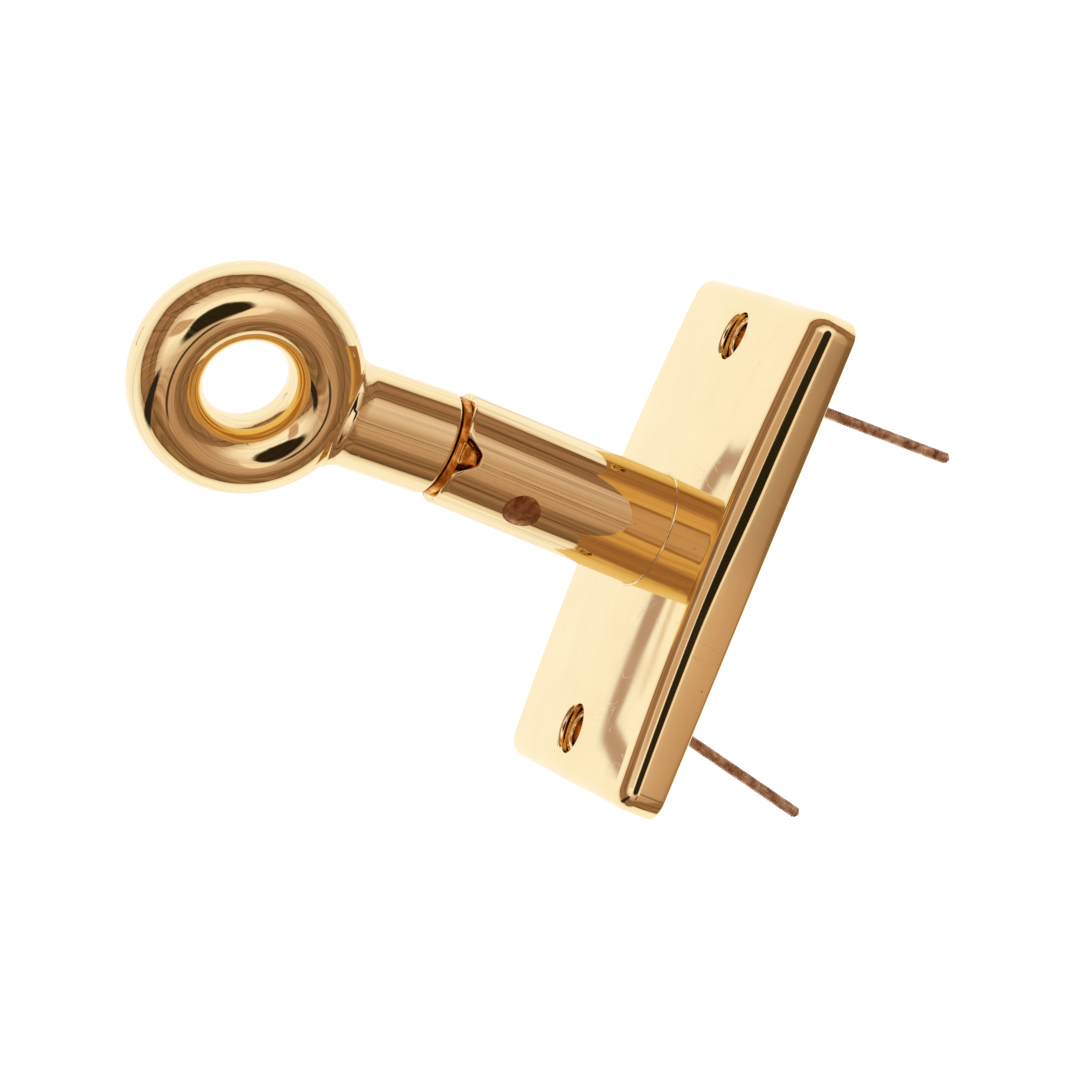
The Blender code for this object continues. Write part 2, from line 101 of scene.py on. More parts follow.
def linear(colour: str) -> tuple[float, float, float, float]:
    """Turn an sRGB hex colour to linear.

    Args:
        colour: Six hex digits, with or without a leading #.

    Returns:
        Linear red, green and blue, and an alpha of 1.
    """
    digits = colour.lstrip("#")
    parts = [int(digits[i : i + 2], 16) / 255 for i in (0, 2, 4)]
    red, green, blue = [p / 12.92 if p <= 0.04045 else ((p + 0.055) / 1.055) ** 2.4 for p in parts]
    return (red, green, blue, 1.0)


def per_size(size: float) -> float:
    """The texture scale that makes a pattern's features about this size, in metres."""
    return 1.0 / size


def smoothstep(low: float, high: float, value: Any) -> Any:
    """A smooth rise from 0 at low to 1 at high, for a number or an array."""
    share = np.clip((value - low) / (high - low), 0.0, 1.0)
    return share * share * (3.0 - 2.0 * share)


def at_depth(depth: float, x: float = 0.0, z: float = 0.0) -> Vector:
    """A point at a depth out from the plate's back face."""
    return Vector((x, -depth, z))


class Graph:
    """A node tree, with short ways to add the nodes that recur."""

    def __init__(self, tree: Any) -> None:
        """Take the tree that the nodes go into."""
        self.tree = tree

    def join(self, value: Any, target: Any) -> None:
        """Feed an input with a value or hex colour, or link an output socket to it."""
        if isinstance(value, bpy.types.NodeSocket):
            self.tree.links.new(value, target)
        else:
            target.default_value = linear(value) if isinstance(value, str) else value

    def add(self, kind: str, inputs: dict[Any, Any] | None = None, **settings: Any) -> Any:
        """Add a node with its settings and links.

        Args:
            kind: The node's type name, without its "ShaderNode".
            inputs: What feeds each input, by the input's name or number.
            **settings: The node's own properties.

        Returns:
            The new node.
        """
        node = self.tree.nodes.new(f"ShaderNode{kind}")
        for name, value in settings.items():
            setattr(node, name, value)
        for name, value in (inputs or {}).items():
            self.join(value, node.inputs[name])
        return node

    def place(self) -> Any:
        """The object's own coordinates."""
        return self.add("TexCoord").outputs["Object"]

    def noise(self, place: Any, size: float, detail: float, **more: float) -> Any:
        """A noise, round a level of 0.5, whose features have about this size in metres."""
        inputs = {"Vector": place, "Scale": per_size(size), "Detail": detail, **more}
        return self.add("TexNoise", inputs).outputs["Fac"]

    def math(self, operation: str, *values: Any) -> Any:
        """A Math node's result."""
        return self.add("Math", dict(enumerate(values)), operation=operation).outputs[0]

    def remap(self, value: Any, low: float, high: float, start: float = 0.0, end: float = 1.0) -> Any:
        """A value that goes from start to end while another goes from low to high."""
        inputs = {"Value": value, "From Min": low, "From Max": high, "To Min": start, "To Max": end}
        return self.add("MapRange", inputs).outputs[0]

    def band(self, value: Any, level: float) -> Any:
        """How far a value is from a level."""
        return self.math("ABSOLUTE", self.math("SUBTRACT", value, level))

    def dot(self, look: Any, direction: Vector) -> Any:
        """The dot product of a socket's direction and a fixed one."""
        inputs = {0: look, 1: tuple(direction)}
        return self.add("VectorMath", inputs, operation="DOT_PRODUCT").outputs["Value"]

    def mix(self, share: Any, first: Any, second: Any) -> Any:
        """Two colours mixed: the first where the share is 0, the second where it is 1."""
        inputs = {"Factor": share, "A": first, "B": second}
        return self.add("Mix", inputs, data_type="RGBA").outputs["Result"]

    def ramp(self, share: Any, stops: tuple[tuple[float, str], ...], span: float = 1.0) -> Any:
        """A ramp's colour.

        Args:
            share: What drives the ramp, from 0 to 1.
            stops: Places from 0 to the span, each with a hex colour.
            span: The place at the ramp's end.

        Returns:
            The ramp's output socket.
        """
        node = self.add("ValToRGB", {"Fac": share})
        elements = node.color_ramp.elements
        elements.remove(elements[-1])
        for index, (place, colour) in enumerate(stops):
            element = elements.new(place / span) if index else elements[0]
            element.position = place / span
            element.color = linear(colour)
        return node.outputs["Color"]

    def bump(self, height: Any, distance: float, under: Any = None, invert: bool = False) -> Any:
        """A normal bent by a height of 0 to 1 that stands for a distance, on top of another bump."""
        inputs = {"Height": height, "Strength": 1.0, "Distance": distance}
        if under is not None:
            inputs["Normal"] = under
        return self.add("Bump", inputs, invert=invert).outputs[0]


# --------------------------------------------------------------------------------------- finishes


@dataclass(frozen=True)
class Finish:
    """What every metal finish shares: a Principled shader with a metallic value of 1."""

    name: str

    def inputs(self, graph: Graph, place: Any) -> dict[str, Any]:
        """The output sockets that feed the shader, by the name of its input."""
        raise NotImplementedError

    def build(self) -> Any:
        """Build the material.

        Returns:
            The material.
        """
        material = bpy.data.materials.new(self.name)
        material.use_nodes = True
        graph = Graph(material.node_tree)
        shader = material.node_tree.nodes["Principled BSDF"]
        shader.inputs["Metallic"].default_value = 1.0
        for name, value in self.inputs(graph, graph.place()).items():
            graph.join(value, shader.inputs[name])
        return material


@dataclass(frozen=True)
class PolishedBrass(Finish):
    """Yellow brass, cast or drawn, then buffed and lacquered.

    It mirrors its surroundings in warm cream to brown. The buffing leaves fine lines that break
    reflections into streaks, and handling leaves hairline scratches, dulled patches and pits.
    """

    lay: Lay = Lay.ALONG_STEM
    pale: str = "#FCEBBE"
    warm: str = "#F6DDA8"
    streak_brown: str = "#8E5F34"
    pit_brown: str = "#8A5A2E"
    cloud_size: float = 9.0 * MM
    line_spacing: float = 0.55 * MM
    line_height: float = 1.6e-6
    streak_share: float = 0.5
    ripple_size: float = 6.0 * MM
    ripple_height: float = 4.0e-6
    scratch_size: float = 2.6 * MM
    scratch_depth: float = 1.2e-6
    patch_size: float = 5.0 * MM
    pit_size: float = 1.3 * MM
    pit_share: float = 0.12
    pit_depth: float = 12.0e-6
    bright_rough: float = 0.035
    dull_rough: float = 0.075
    scratch_rough: float = 0.05
    pit_rough: float = 0.3

    def grain(self, graph: Graph, place: Any) -> Any:
        """The coordinates of the buffing lines, stretched along the way they run."""
        if self.lay is Lay.GRAIN_ATTRIBUTE:
            return graph.add("Attribute", attribute_name=GRAIN).outputs["Vector"]
        stretch = (1.0, ALONG_LINES, 1.0) if self.lay is Lay.ALONG_STEM else (0.02, 1.0, 1.0)
        return graph.add("Mapping", {"Vector": place, "Scale": stretch}).outputs[0]

    def inputs(self, graph: Graph, place: Any) -> dict[str, Any]:
        """The colour, roughness and normal."""
        cloud = graph.noise(place, self.cloud_size, 4.0)
        lines = graph.noise(self.grain(graph, place), self.line_spacing, 5.0, Roughness=0.62)
        scratches = self.scratches(graph, place)
        pits = self.pits(graph, place)
        colour = graph.mix(cloud, self.pale, self.warm)
        streak = graph.remap(lines, 0.5, 0.72, 0.0, self.streak_share)
        colour = graph.mix(streak, colour, self.streak_brown)
        colour = graph.mix(pits, colour, self.pit_brown)
        rough = graph.remap(cloud, 0.35, 0.75, self.bright_rough, self.dull_rough)
        rough = graph.math("MULTIPLY_ADD", scratches, self.scratch_rough, rough)
        rough = graph.math("MULTIPLY_ADD", pits, self.pit_rough, rough)
        normal = graph.bump(graph.noise(place, self.ripple_size, 1.0), self.ripple_height)
        normal = graph.bump(lines, self.line_height, normal)
        normal = graph.bump(scratches, self.scratch_depth, normal, invert=True)
        normal = graph.bump(pits, self.pit_depth, normal, invert=True)
        return {"Base Color": colour, "Roughness": rough, "Normal": normal}

    def pits(self, graph: Graph, place: Any) -> Any:
        """Small pits, in some of the cells of a Voronoi pattern: 1 in a pit and 0 elsewhere."""
        inputs = {"Vector": place, "Scale": per_size(self.pit_size), "Randomness": 1.0}
        cells = graph.add("TexVoronoi", inputs)
        picked = graph.math("GREATER_THAN", cells.outputs["Color"], 1.0 - self.pit_share)
        spot = graph.remap(cells.outputs["Distance"], 0.03, 0.10, 1.0, 0.0)
        return graph.math("MULTIPLY", picked, spot)

    def scratches(self, graph: Graph, place: Any) -> Any:
        """Hairlines, the thin level lines of a stretched, bent noise: 1 in one and 0 elsewhere."""
        slant = {"Vector": place, "Rotation": (0.5, 0.9, 0.7), "Scale": (1.0, 0.16, 0.5)}
        turned_place = graph.add("Mapping", slant).outputs[0]
        bent = graph.noise(turned_place, self.scratch_size, 2.0, Distortion=0.6)
        line = graph.remap(graph.band(bent, 0.5), 0.001, 0.005, 1.0, 0.0)
        some = graph.remap(graph.noise(place, self.patch_size, 1.0), 0.52, 0.62)
        return graph.math("MULTIPLY", line, some)


@dataclass(frozen=True)
class MottledMetal(Finish):
    """Bare metal that has darkened unevenly.

    It looks mottled, from a dark oxide in the low places to rubbed, brighter metal on the high
    ones, whose brightest colour is also a painted highlight, with a grain of small lumps.
    """

    dark: str
    middle: str
    rubbed_with_painted_highlight: str
    lump_size: float
    smooth: float
    rough: float
    lump_height: float = 30e-6
    grain_size: float = 0.12 * MM
    grain_height: float = 3e-6

    def inputs(self, graph: Graph, place: Any) -> dict[str, Any]:
        """The colour, roughness and normal."""
        lumps = graph.noise(place, self.lump_size, 4.0, Roughness=0.6, Distortion=0.4)
        fine = graph.noise(place, self.grain_size, 3.0)
        # the last colour, on the lumps' tops, is rubbed metal and also a painted highlight
        colours = ((0.30, self.dark), (0.48, self.middle), (0.68, self.rubbed_with_painted_highlight))
        return {
            "Base Color": graph.ramp(lumps, colours),
            "Roughness": graph.remap(lumps, 0.3, 0.7, self.rough, self.smooth),
            "Normal": graph.bump(fine, self.grain_height, graph.bump(lumps, self.lump_height)),
        }


class Finishes:
    """The handle's finishes, each built once."""

    def __init__(self) -> None:
        """Build them."""
        self.barrel_brass = PolishedBrass("polished brass, drawn tube").build()
        self.plate_brass = PolishedBrass(
            "polished brass, pressed plate", lay=Lay.ALONG_PLATE, line_height=0.3e-6,
            ripple_size=9.0 * MM, ripple_height=7.0e-6, streak_share=0.03,
        ).build()
        self.ring_brass = PolishedBrass(
            "polished brass, cast ring", lay=Lay.GRAIN_ATTRIBUTE, ripple_height=14.0e-6,
            streak_share=0.3,
        ).build()
        self.turned_brass = PolishedBrass(
            "turned brass", lay=Lay.ALONG_PLATE, pale="#E9CF93", warm="#D9B56F",
        ).build()
        # each mottled finish's third colour is rubbed metal and partly a painted highlight
        self.bronze = MottledMetal(
            "tarnished bronze", "#7A3810", "#D8862E", "#FFD07A", 1.3 * MM, 0.14, 0.38
        ).build()
        self.ferrule_bronze = MottledMetal(
            "tarnished bronze, rolled eyelet", "#C47A40", "#F3D49A", "#FFF2CC", 1.1 * MM, 0.06, 0.16,
            lump_height=6e-6,
        ).build()
        self.pin_copper = MottledMetal(
            "copper plated steel, filed pin", "#7A4428", "#B07A4C", "#D8A878", 0.9 * MM, 0.2, 0.42,
            lump_height=7e-6,
        ).build()
        self.stud_copper = MottledMetal(
            "copper plated steel thread", "#8A5A40", "#C69A7C", "#F0CDB0", 1.2 * MM, 0.35, 0.6,
            lump_height=3e-6,
        ).build()
        self.steel = MottledMetal(
            "ground steel", "#77736C", "#A6A39C", "#C9C6BF", 1.2 * MM, 0.2, 0.38,
            lump_height=2e-6, grain_size=0.08 * MM, grain_height=1e-6,
        ).build()


# ------------------------------------------------------------------------------------ mesh tools


def everything(bm: Any) -> list[Any]:
    """All of a bmesh's vertices, edges and faces."""
    return bm.verts[:] + bm.edges[:] + bm.faces[:]


def shift(bm: Any, move: Any) -> None:
    """Move a whole bmesh."""
    bmesh.ops.translate(bm, vec=move, verts=bm.verts)


def transform(bm: Any, matrix: Matrix) -> None:
    """Turn and place a whole bmesh."""
    bmesh.ops.transform(bm, matrix=matrix, verts=bm.verts)


def new_verts(result: dict[str, Any]) -> list[Any]:
    """The vertices that an extrusion made."""
    return [v for v in result["geom"] if isinstance(v, bmesh.types.BMVert)]


def outline(points: list[tuple[float, float, float]]) -> Any:
    """A bmesh that holds an open line through points."""
    bm = bmesh.new()
    verts = [bm.verts.new(point) for point in points]
    for first, second in zip(verts, verts[1:]):
        bm.edges.new((first, second))
    return bm


def spin(bm: Any, axis: tuple[int, int, int], steps: int) -> None:
    """Spin a bmesh's profile a full turn about an axis, with the faces pointing out."""
    bmesh.ops.spin(
        bm, geom=bm.verts[:] + bm.edges[:], axis=axis, cent=(0, 0, 0), steps=steps,
        angle=math.tau, use_merge=True,
    )
    bmesh.ops.remove_doubles(bm, verts=bm.verts, dist=MERGE)
    bmesh.ops.recalc_face_normals(bm, faces=bm.faces)


def turned(points: list[tuple[float, float]], steps: int, closed: bool = True) -> Any:
    """Turn a profile of (radius, depth) points about the barrel's axis.

    Args:
        points: The profile's points.
        steps: How many steps a full turn has.
        closed: Whether the profile closes on itself. One that doesn't starts and ends on the axis.

    Returns:
        A closed bmesh with its faces pointing out.
    """
    bm = outline([(0.0, -depth, radius) for radius, depth in points])
    if closed:
        bm.verts.ensure_lookup_table()
        bm.edges.new((bm.verts[-1], bm.verts[0]))
    spin(bm, (0, 1, 0), steps)
    return bm


def round_sizes(node: str) -> tuple[float, float, float]:
    """A round CAD node's radius, and the depths of its front and its back."""
    low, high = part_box(node)
    return (high.x - low.x) / 2, -low.y, -high.y


def cylinder(radius: float, low: float, high: float, segments: int, top: float | None = None) -> Any:
    """A closed cylinder or cone about +Z, from a low to a high place.

    Args:
        radius: Its radius.
        low: Where it starts.
        high: Where it ends.
        segments: How many sides it has.
        top: Its radius at the high end, if that's another one.

    Returns:
        The bmesh.
    """
    bm = bmesh.new()
    bmesh.ops.create_cone(
        bm, cap_ends=True, segments=segments, radius1=radius, radius2=radius if top is None else top,
        depth=high - low,
    )
    shift(bm, (0, 0, (low + high) / 2))
    return bm


def rounded(
    corners: list[tuple[float, float, float]], segments: int = 4
) -> list[tuple[float, float]]:
    """Round the corners of a closed profile.

    Args:
        corners: For each corner, its radius out from the axis, its depth and its rounding.
        segments: How many segments a rounded corner has.

    Returns:
        The profile's points.
    """
    points: list[tuple[float, float]] = []
    count = len(corners)
    for index, (radius, depth, rounding) in enumerate(corners):
        here = Vector((radius, depth))
        if rounding <= 0.0:
            points.append((here.x, here.y))
            continue
        before = Vector(corners[index - 1][:2]) - here
        after = Vector(corners[(index + 1) % count][:2]) - here
        start = here + before.normalized() * rounding
        end = here + after.normalized() * rounding
        for step in range(segments + 1):
            share = step / segments
            bend = start * (1 - share) ** 2 + here * 2 * share * (1 - share) + end * share**2
            points.append((bend.x, bend.y))
    return points


def to_object(bm: Any, name: str) -> Any:
    """Put a bmesh in the scene as an object at the origin, and free it."""
    mesh = bpy.data.meshes.new(name)
    bm.to_mesh(mesh)
    bm.free()
    obj = bpy.data.objects.new(name, mesh)
    bpy.context.scene.collection.objects.link(obj)
    return obj


def apply_modifiers(obj: Any) -> None:
    """Make an object's modified shape its own mesh, and drop the modifiers."""
    bpy.context.view_layer.update()
    graph = bpy.context.evaluated_depsgraph_get()
    mesh = bpy.data.meshes.new_from_object(obj.evaluated_get(graph))
    old = obj.data
    obj.modifiers.clear()
    obj.data = mesh
    bpy.data.meshes.remove(old)


def combine(obj: Any, tools: list[Any], operation: str = "DIFFERENCE") -> None:
    """Cut tool bmeshes from an object, or join them on.

    Args:
        obj: The object to change.
        tools: Closed bmeshes, which are freed.
        operation: DIFFERENCE, UNION or INTERSECT.
    """
    made = [to_object(tool, f"{obj.name}_tool_{index}") for index, tool in enumerate(tools)]
    for tool in made:
        modifier = obj.modifiers.new(tool.name, "BOOLEAN")
        modifier.operation = operation
        modifier.solver = "EXACT"
        modifier.object = tool
    apply_modifiers(obj)
    for tool in made:
        mesh = tool.data
        bpy.data.objects.remove(tool)
        bpy.data.meshes.remove(mesh)


def box_mesh(size: tuple[float, float, float], centre: Vector, edge: float = 0.0) -> Any:
    """A box with rounded edges.

    Args:
        size: Its three sizes.
        centre: Its middle.
        edge: The width of its rounded edges.

    Returns:
        The bmesh.
    """
    bm = bmesh.new()
    bmesh.ops.create_cube(bm, size=1.0)
    bmesh.ops.scale(bm, vec=size, verts=bm.verts)
    if edge > 0.0:
        bmesh.ops.bevel(
            bm, geom=bm.edges[:], offset=edge, segments=3, affect="EDGES", profile=0.5, material=-1
        )
    shift(bm, centre)
    return bm


def dress(
    obj: Any, material: Any, body: str, nodes: tuple[str, ...] = (), sharp: float = 35.0
) -> Any:
    """Give a finished piece its material, shading, body and the CAD nodes it stands for.

    Args:
        obj: The piece.
        material: Its finish.
        body: The CAD body it rides on.
        nodes: The CAD nodes it replaces.
        sharp: Edges that turn more than this many degrees stay crisp.

    Returns:
        The piece.
    """
    mesh = obj.data
    mesh.materials.clear()
    mesh.materials.append(material)
    mesh.shade_smooth()
    if sharp > 0.0:
        mesh.set_sharp_from_angle(angle=math.radians(sharp))
    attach(obj, body)
    if nodes:
        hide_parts(*nodes)
    LOG.info("%s: %d faces on %s", obj.name, len(mesh.polygons), body)
    return obj


# ----------------------------------------------------------------------------------------- pieces


@dataclass
class FacePlate:
    """The crowned plate with its screw holes, ferrules and the recess behind the barrel."""

    crown_along: float = 1.1 * MM
    crown_across: float = 0.9 * MM
    corner_radius: float = 2.6 * MM
    front_fillet: float = 2.2 * MM
    back_fillet: float = 0.7 * MM
    top_wear: float = 0.5 * MM
    end_wear: float = 0.8 * MM
    thickness: float = 7.4 * MM
    cell: float = 1.0 * MM
    hole_spacing: float = 52.0 * MM
    counterbore_radius: float = 3.05 * MM
    counterbore_depth: float = 1.8 * MM
    through_radius: float = 2.6 * MM
    rim_round: float = 0.5 * MM
    rim_steps: int = 5
    ferrule_bore: float = 1.95 * MM
    ferrule_outer: float = 2.35 * MM
    ferrule_lip: float = 0.5 * MM
    seat_radius: float = 7.35 * MM
    seat_floor: float = 6.9 * MM
    spigot_hole_radius: float = 5.85 * MM
    recess_radius: float = 9.0 * MM
    recess_depth: float = 4.1 * MM
    recess_chamfer: float = 0.3 * MM
    length: float = field(init=False)
    width: float = field(init=False)

    def __post_init__(self) -> None:
        """Take the length and width from the frame."""
        low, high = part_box("face_plate")
        self.length = high.x - low.x
        self.width = high.z - low.z

    def drop(self, x: float, z: float) -> float:
        """How far the front lies behind its middle at a point."""
        along = self.crown_along * (2 * x / self.length) ** 2
        return along + self.crown_across * (2 * z / self.width) ** 2

    def surface(self, x: float, z: float) -> float:
        """The depth of the front at a point."""
        return self.thickness - self.drop(x, z)

    def blank(self) -> Any:
        """A block with rounded corners and edges, divided finely, whose front is crowned.

        Returns:
            The bmesh.
        """
        bm = bmesh.new()
        bmesh.ops.create_cube(bm, size=1.0)
        bmesh.ops.scale(bm, vec=(self.length, self.thickness, self.width), verts=bm.verts)
        shift(bm, at_depth(self.thickness / 2))
        upright = [e for e in bm.edges if abs(e.verts[0].co.y - e.verts[1].co.y) > self.thickness / 2]
        self.round_edges(bm, upright, self.corner_radius, 12)
        front = [e for e in bm.edges if all(v.co.y < -self.thickness * 0.99 for v in e.verts)]
        self.round_edges(bm, front, self.front_fillet, 12)
        back = [e for e in bm.edges if all(v.co.y > -self.thickness * 0.01 for v in e.verts)]
        self.round_edges(bm, back, self.back_fillet, 5)
        for span, normal in ((self.length, Vector((1, 0, 0))), (self.width, Vector((0, 0, 1)))):
            count = round(span / self.cell)
            for index in range(1, count):
                place = normal * (span * (index / count - 0.5))
                bmesh.ops.bisect_plane(
                    bm, geom=everything(bm), dist=0.001 * MM, plane_co=place, plane_no=normal
                )
        for vert in bm.verts:
            self.ease_top_edge(vert)
            vert.co.y *= 1 - self.drop(vert.co.x, vert.co.z) / self.thickness
        return bm

    def ease_top_edge(self, vert: Any) -> None:
        """Widen the top edge's front fillet, which the polishing wheel wore most at the -X end."""
        share = float(smoothstep(0.0, 10 * MM, vert.co.z))
        worn = self.top_wear + self.end_wear * float(smoothstep(-10 * MM, 10 * MM, -vert.co.x))
        wide = self.front_fillet + worn * share
        for axis, sign, size in ((2, 1, self.width / 2), (1, -1, self.thickness)):
            place = vert.co[axis] * sign
            flat = size - self.front_fillet
            if place > flat:
                place = size - wide + (place - flat) * wide / self.front_fillet
            elif place > 0.0:
                place *= (size - wide) / flat
            vert.co[axis] = place * sign

    @staticmethod
    def round_edges(bm: Any, edges: list[Any], width: float, segments: int) -> None:
        """Round some edges."""
        bmesh.ops.bevel(
            bm, geom=edges, offset=width, segments=segments, affect="EDGES", profile=0.5,
            material=-1,
        )

    def hole_tool(self, x: float) -> Any:
        """The cutter of a stepped screw hole, with a rounded entry that follows the crown.

        Args:
            x: The hole's place along the plate.

        Returns:
            The bmesh.
        """
        top = self.surface(x, 0.0)
        floor = top - self.counterbore_depth
        wide = self.counterbore_radius
        entry = wide + self.rim_round + 0.2 * MM
        points = [(0.0, top + PAST), (entry, top + PAST), (entry, top + 0.03 * MM)]
        for step in range(self.rim_steps + 1):
            turn = math.pi / 2 * step / self.rim_steps
            out = self.rim_round * (1 - math.sin(turn))
            points.append((wide + out, top - self.rim_round * (1 - math.cos(turn))))
        points += [(wide, floor), (self.through_radius, floor), (self.through_radius, -PAST)]
        points.append((0.0, -PAST))
        bm = turned(points, 72, closed=False)
        slope = 8 * self.crown_along * x / self.length**2
        tilt = Matrix.Rotation(math.atan(slope), 4, "Z")
        bmesh.ops.rotate(bm, verts=bm.verts, cent=at_depth(top), matrix=tilt)
        shift(bm, (x, 0, 0))
        return bm

    def centre_tool(self) -> Any:
        """The cutter of the barrel's seat, the spigot's hole and the recess behind."""
        points = [(0.0, self.thickness + PAST), (self.seat_radius, self.thickness + PAST)]
        points += [(self.seat_radius, self.seat_floor), (self.spigot_hole_radius, self.seat_floor)]
        points.append((self.spigot_hole_radius, self.recess_depth))
        points.append((self.recess_radius, self.recess_depth))
        wide = self.recess_radius + self.recess_chamfer
        points += [(self.recess_radius, self.recess_chamfer), (wide, 0.0), (wide, -PAST)]
        points.append((0.0, -PAST))
        return turned(points, 96, closed=False)

    def build(self, finishes: Finishes) -> None:
        """Build the plate and its ferrules."""
        plate = to_object(self.blank(), "face_plate_shell")
        half = self.hole_spacing / 2
        tools = [self.centre_tool(), self.hole_tool(-half), self.hole_tool(half)]
        tools += [stud.socket_tool() for stud in FIXING_STUDS]
        combine(plate, tools)
        dress(plate, finishes.plate_brass, MOUNTING, ("face_plate",), sharp=40.0)
        for side, x in (("left", -half), ("right", half)):
            self.ferrule(side, x, finishes)

    def ferrule(self, side: str, x: float, finishes: Finishes) -> None:
        """The eyelet that lines a screw hole, with a rolled lip on the counterbore's floor."""
        lip, front, back = round_sizes(f"hole_ferrule_{side}")
        bore, outer = self.ferrule_bore, self.ferrule_outer
        under = front - self.ferrule_lip
        corners = [(bore, front, 0.3 * MM), (lip, front, 0.22 * MM), (lip, under, 0.1 * MM)]
        corners += [(outer, under, 0.0), (outer, back, 0.0), (bore, back, 0.05 * MM)]
        bm = turned(rounded(corners, 5), 64)
        shift(bm, (x, 0, 0))
        obj = to_object(bm, f"rolled_ferrule_{side}")
        dress(obj, finishes.ferrule_bronze, MOUNTING, (f"hole_ferrule_{side}",))


@dataclass
class FixingStud:
    """A threaded stud in the plate's back."""

    side: str
    x: float
    splay: float
    radius: float = 0.72 * MM
    root_depth: float = 3.4 * MM
    length: float = 26.3 * MM
    pitch: float = 0.35 * MM
    thread_depth: float = 0.13 * MM
    tip_chamfer: float = 0.35 * MM
    steps_per_turn: int = 20

    def matrix(self) -> Matrix:
        """The turn and place that stand the stud's own +Z along it, from the back face."""
        direction = Vector((math.sin(self.splay), math.cos(self.splay), 0.0))
        turn = direction.to_track_quat("Z", "Y").to_matrix().to_4x4()
        return Matrix.Translation(at_depth(0.0, self.x)) @ turn

    def socket_tool(self) -> Any:
        """The cutter of the stud's hole."""
        slack = 0.25 * MM
        bm = cylinder(self.radius + slack, -self.root_depth - slack, PAST, 32)
        transform(bm, self.matrix())
        return bm

    def build(self, finishes: Finishes) -> None:
        """Build the stud: one thread's profile wound round the axis, then cut to its ends."""
        root = self.radius - self.thread_depth
        low, high = -self.root_depth, self.length
        turns = math.ceil((high - low) / self.pitch) + 2
        start = low - self.pitch
        shape = [(root, 0.0), (root, 0.22), (self.radius, 0.44), (self.radius, 0.66), (root, 0.88)]
        shape.append((root, 1.0))
        bm = outline([(r, 0.0, start + share * self.pitch) for r, share in shape])
        steps = turns * self.steps_per_turn
        bmesh.ops.spin(
            bm, geom=bm.verts[:] + bm.edges[:], axis=(0, 0, 1), cent=(0, 0, 0), steps=steps,
            dvec=(0, 0, self.pitch / self.steps_per_turn), angle=math.tau * turns,
        )
        bmesh.ops.remove_doubles(bm, verts=bm.verts, dist=MERGE)
        for place, normal in ((low, -1), (high, 1)):
            cut = bmesh.ops.bisect_plane(
                bm, geom=everything(bm), dist=0.0005 * MM, plane_co=(0, 0, place),
                plane_no=(0, 0, normal), clear_outer=True,
            )
            rim = [e for e in cut["geom_cut"] if isinstance(e, bmesh.types.BMEdge)]
            bmesh.ops.edgeloop_fill(bm, edges=rim)
        for vert in bm.verts:
            out = math.hypot(vert.co.x, vert.co.y)
            limit = root - self.tip_chamfer + (high - vert.co.z) * 1.1
            if 0.0 < limit < out:
                vert.co.x *= limit / out
                vert.co.y *= limit / out
        bmesh.ops.recalc_face_normals(bm, faces=bm.faces)
        transform(bm, self.matrix())
        obj = to_object(bm, f"threaded_stud_{self.side}")
        node = f"fixing_stud_{self.side}"
        dress(obj, finishes.stud_copper, MOUNTING, (node,), sharp=60.0)


FIXING_STUDS = (
    FixingStud("left", -21.4 * MM, math.radians(-2.0)),
    FixingStud("right", 20.3 * MM, math.radians(11.6)),
)


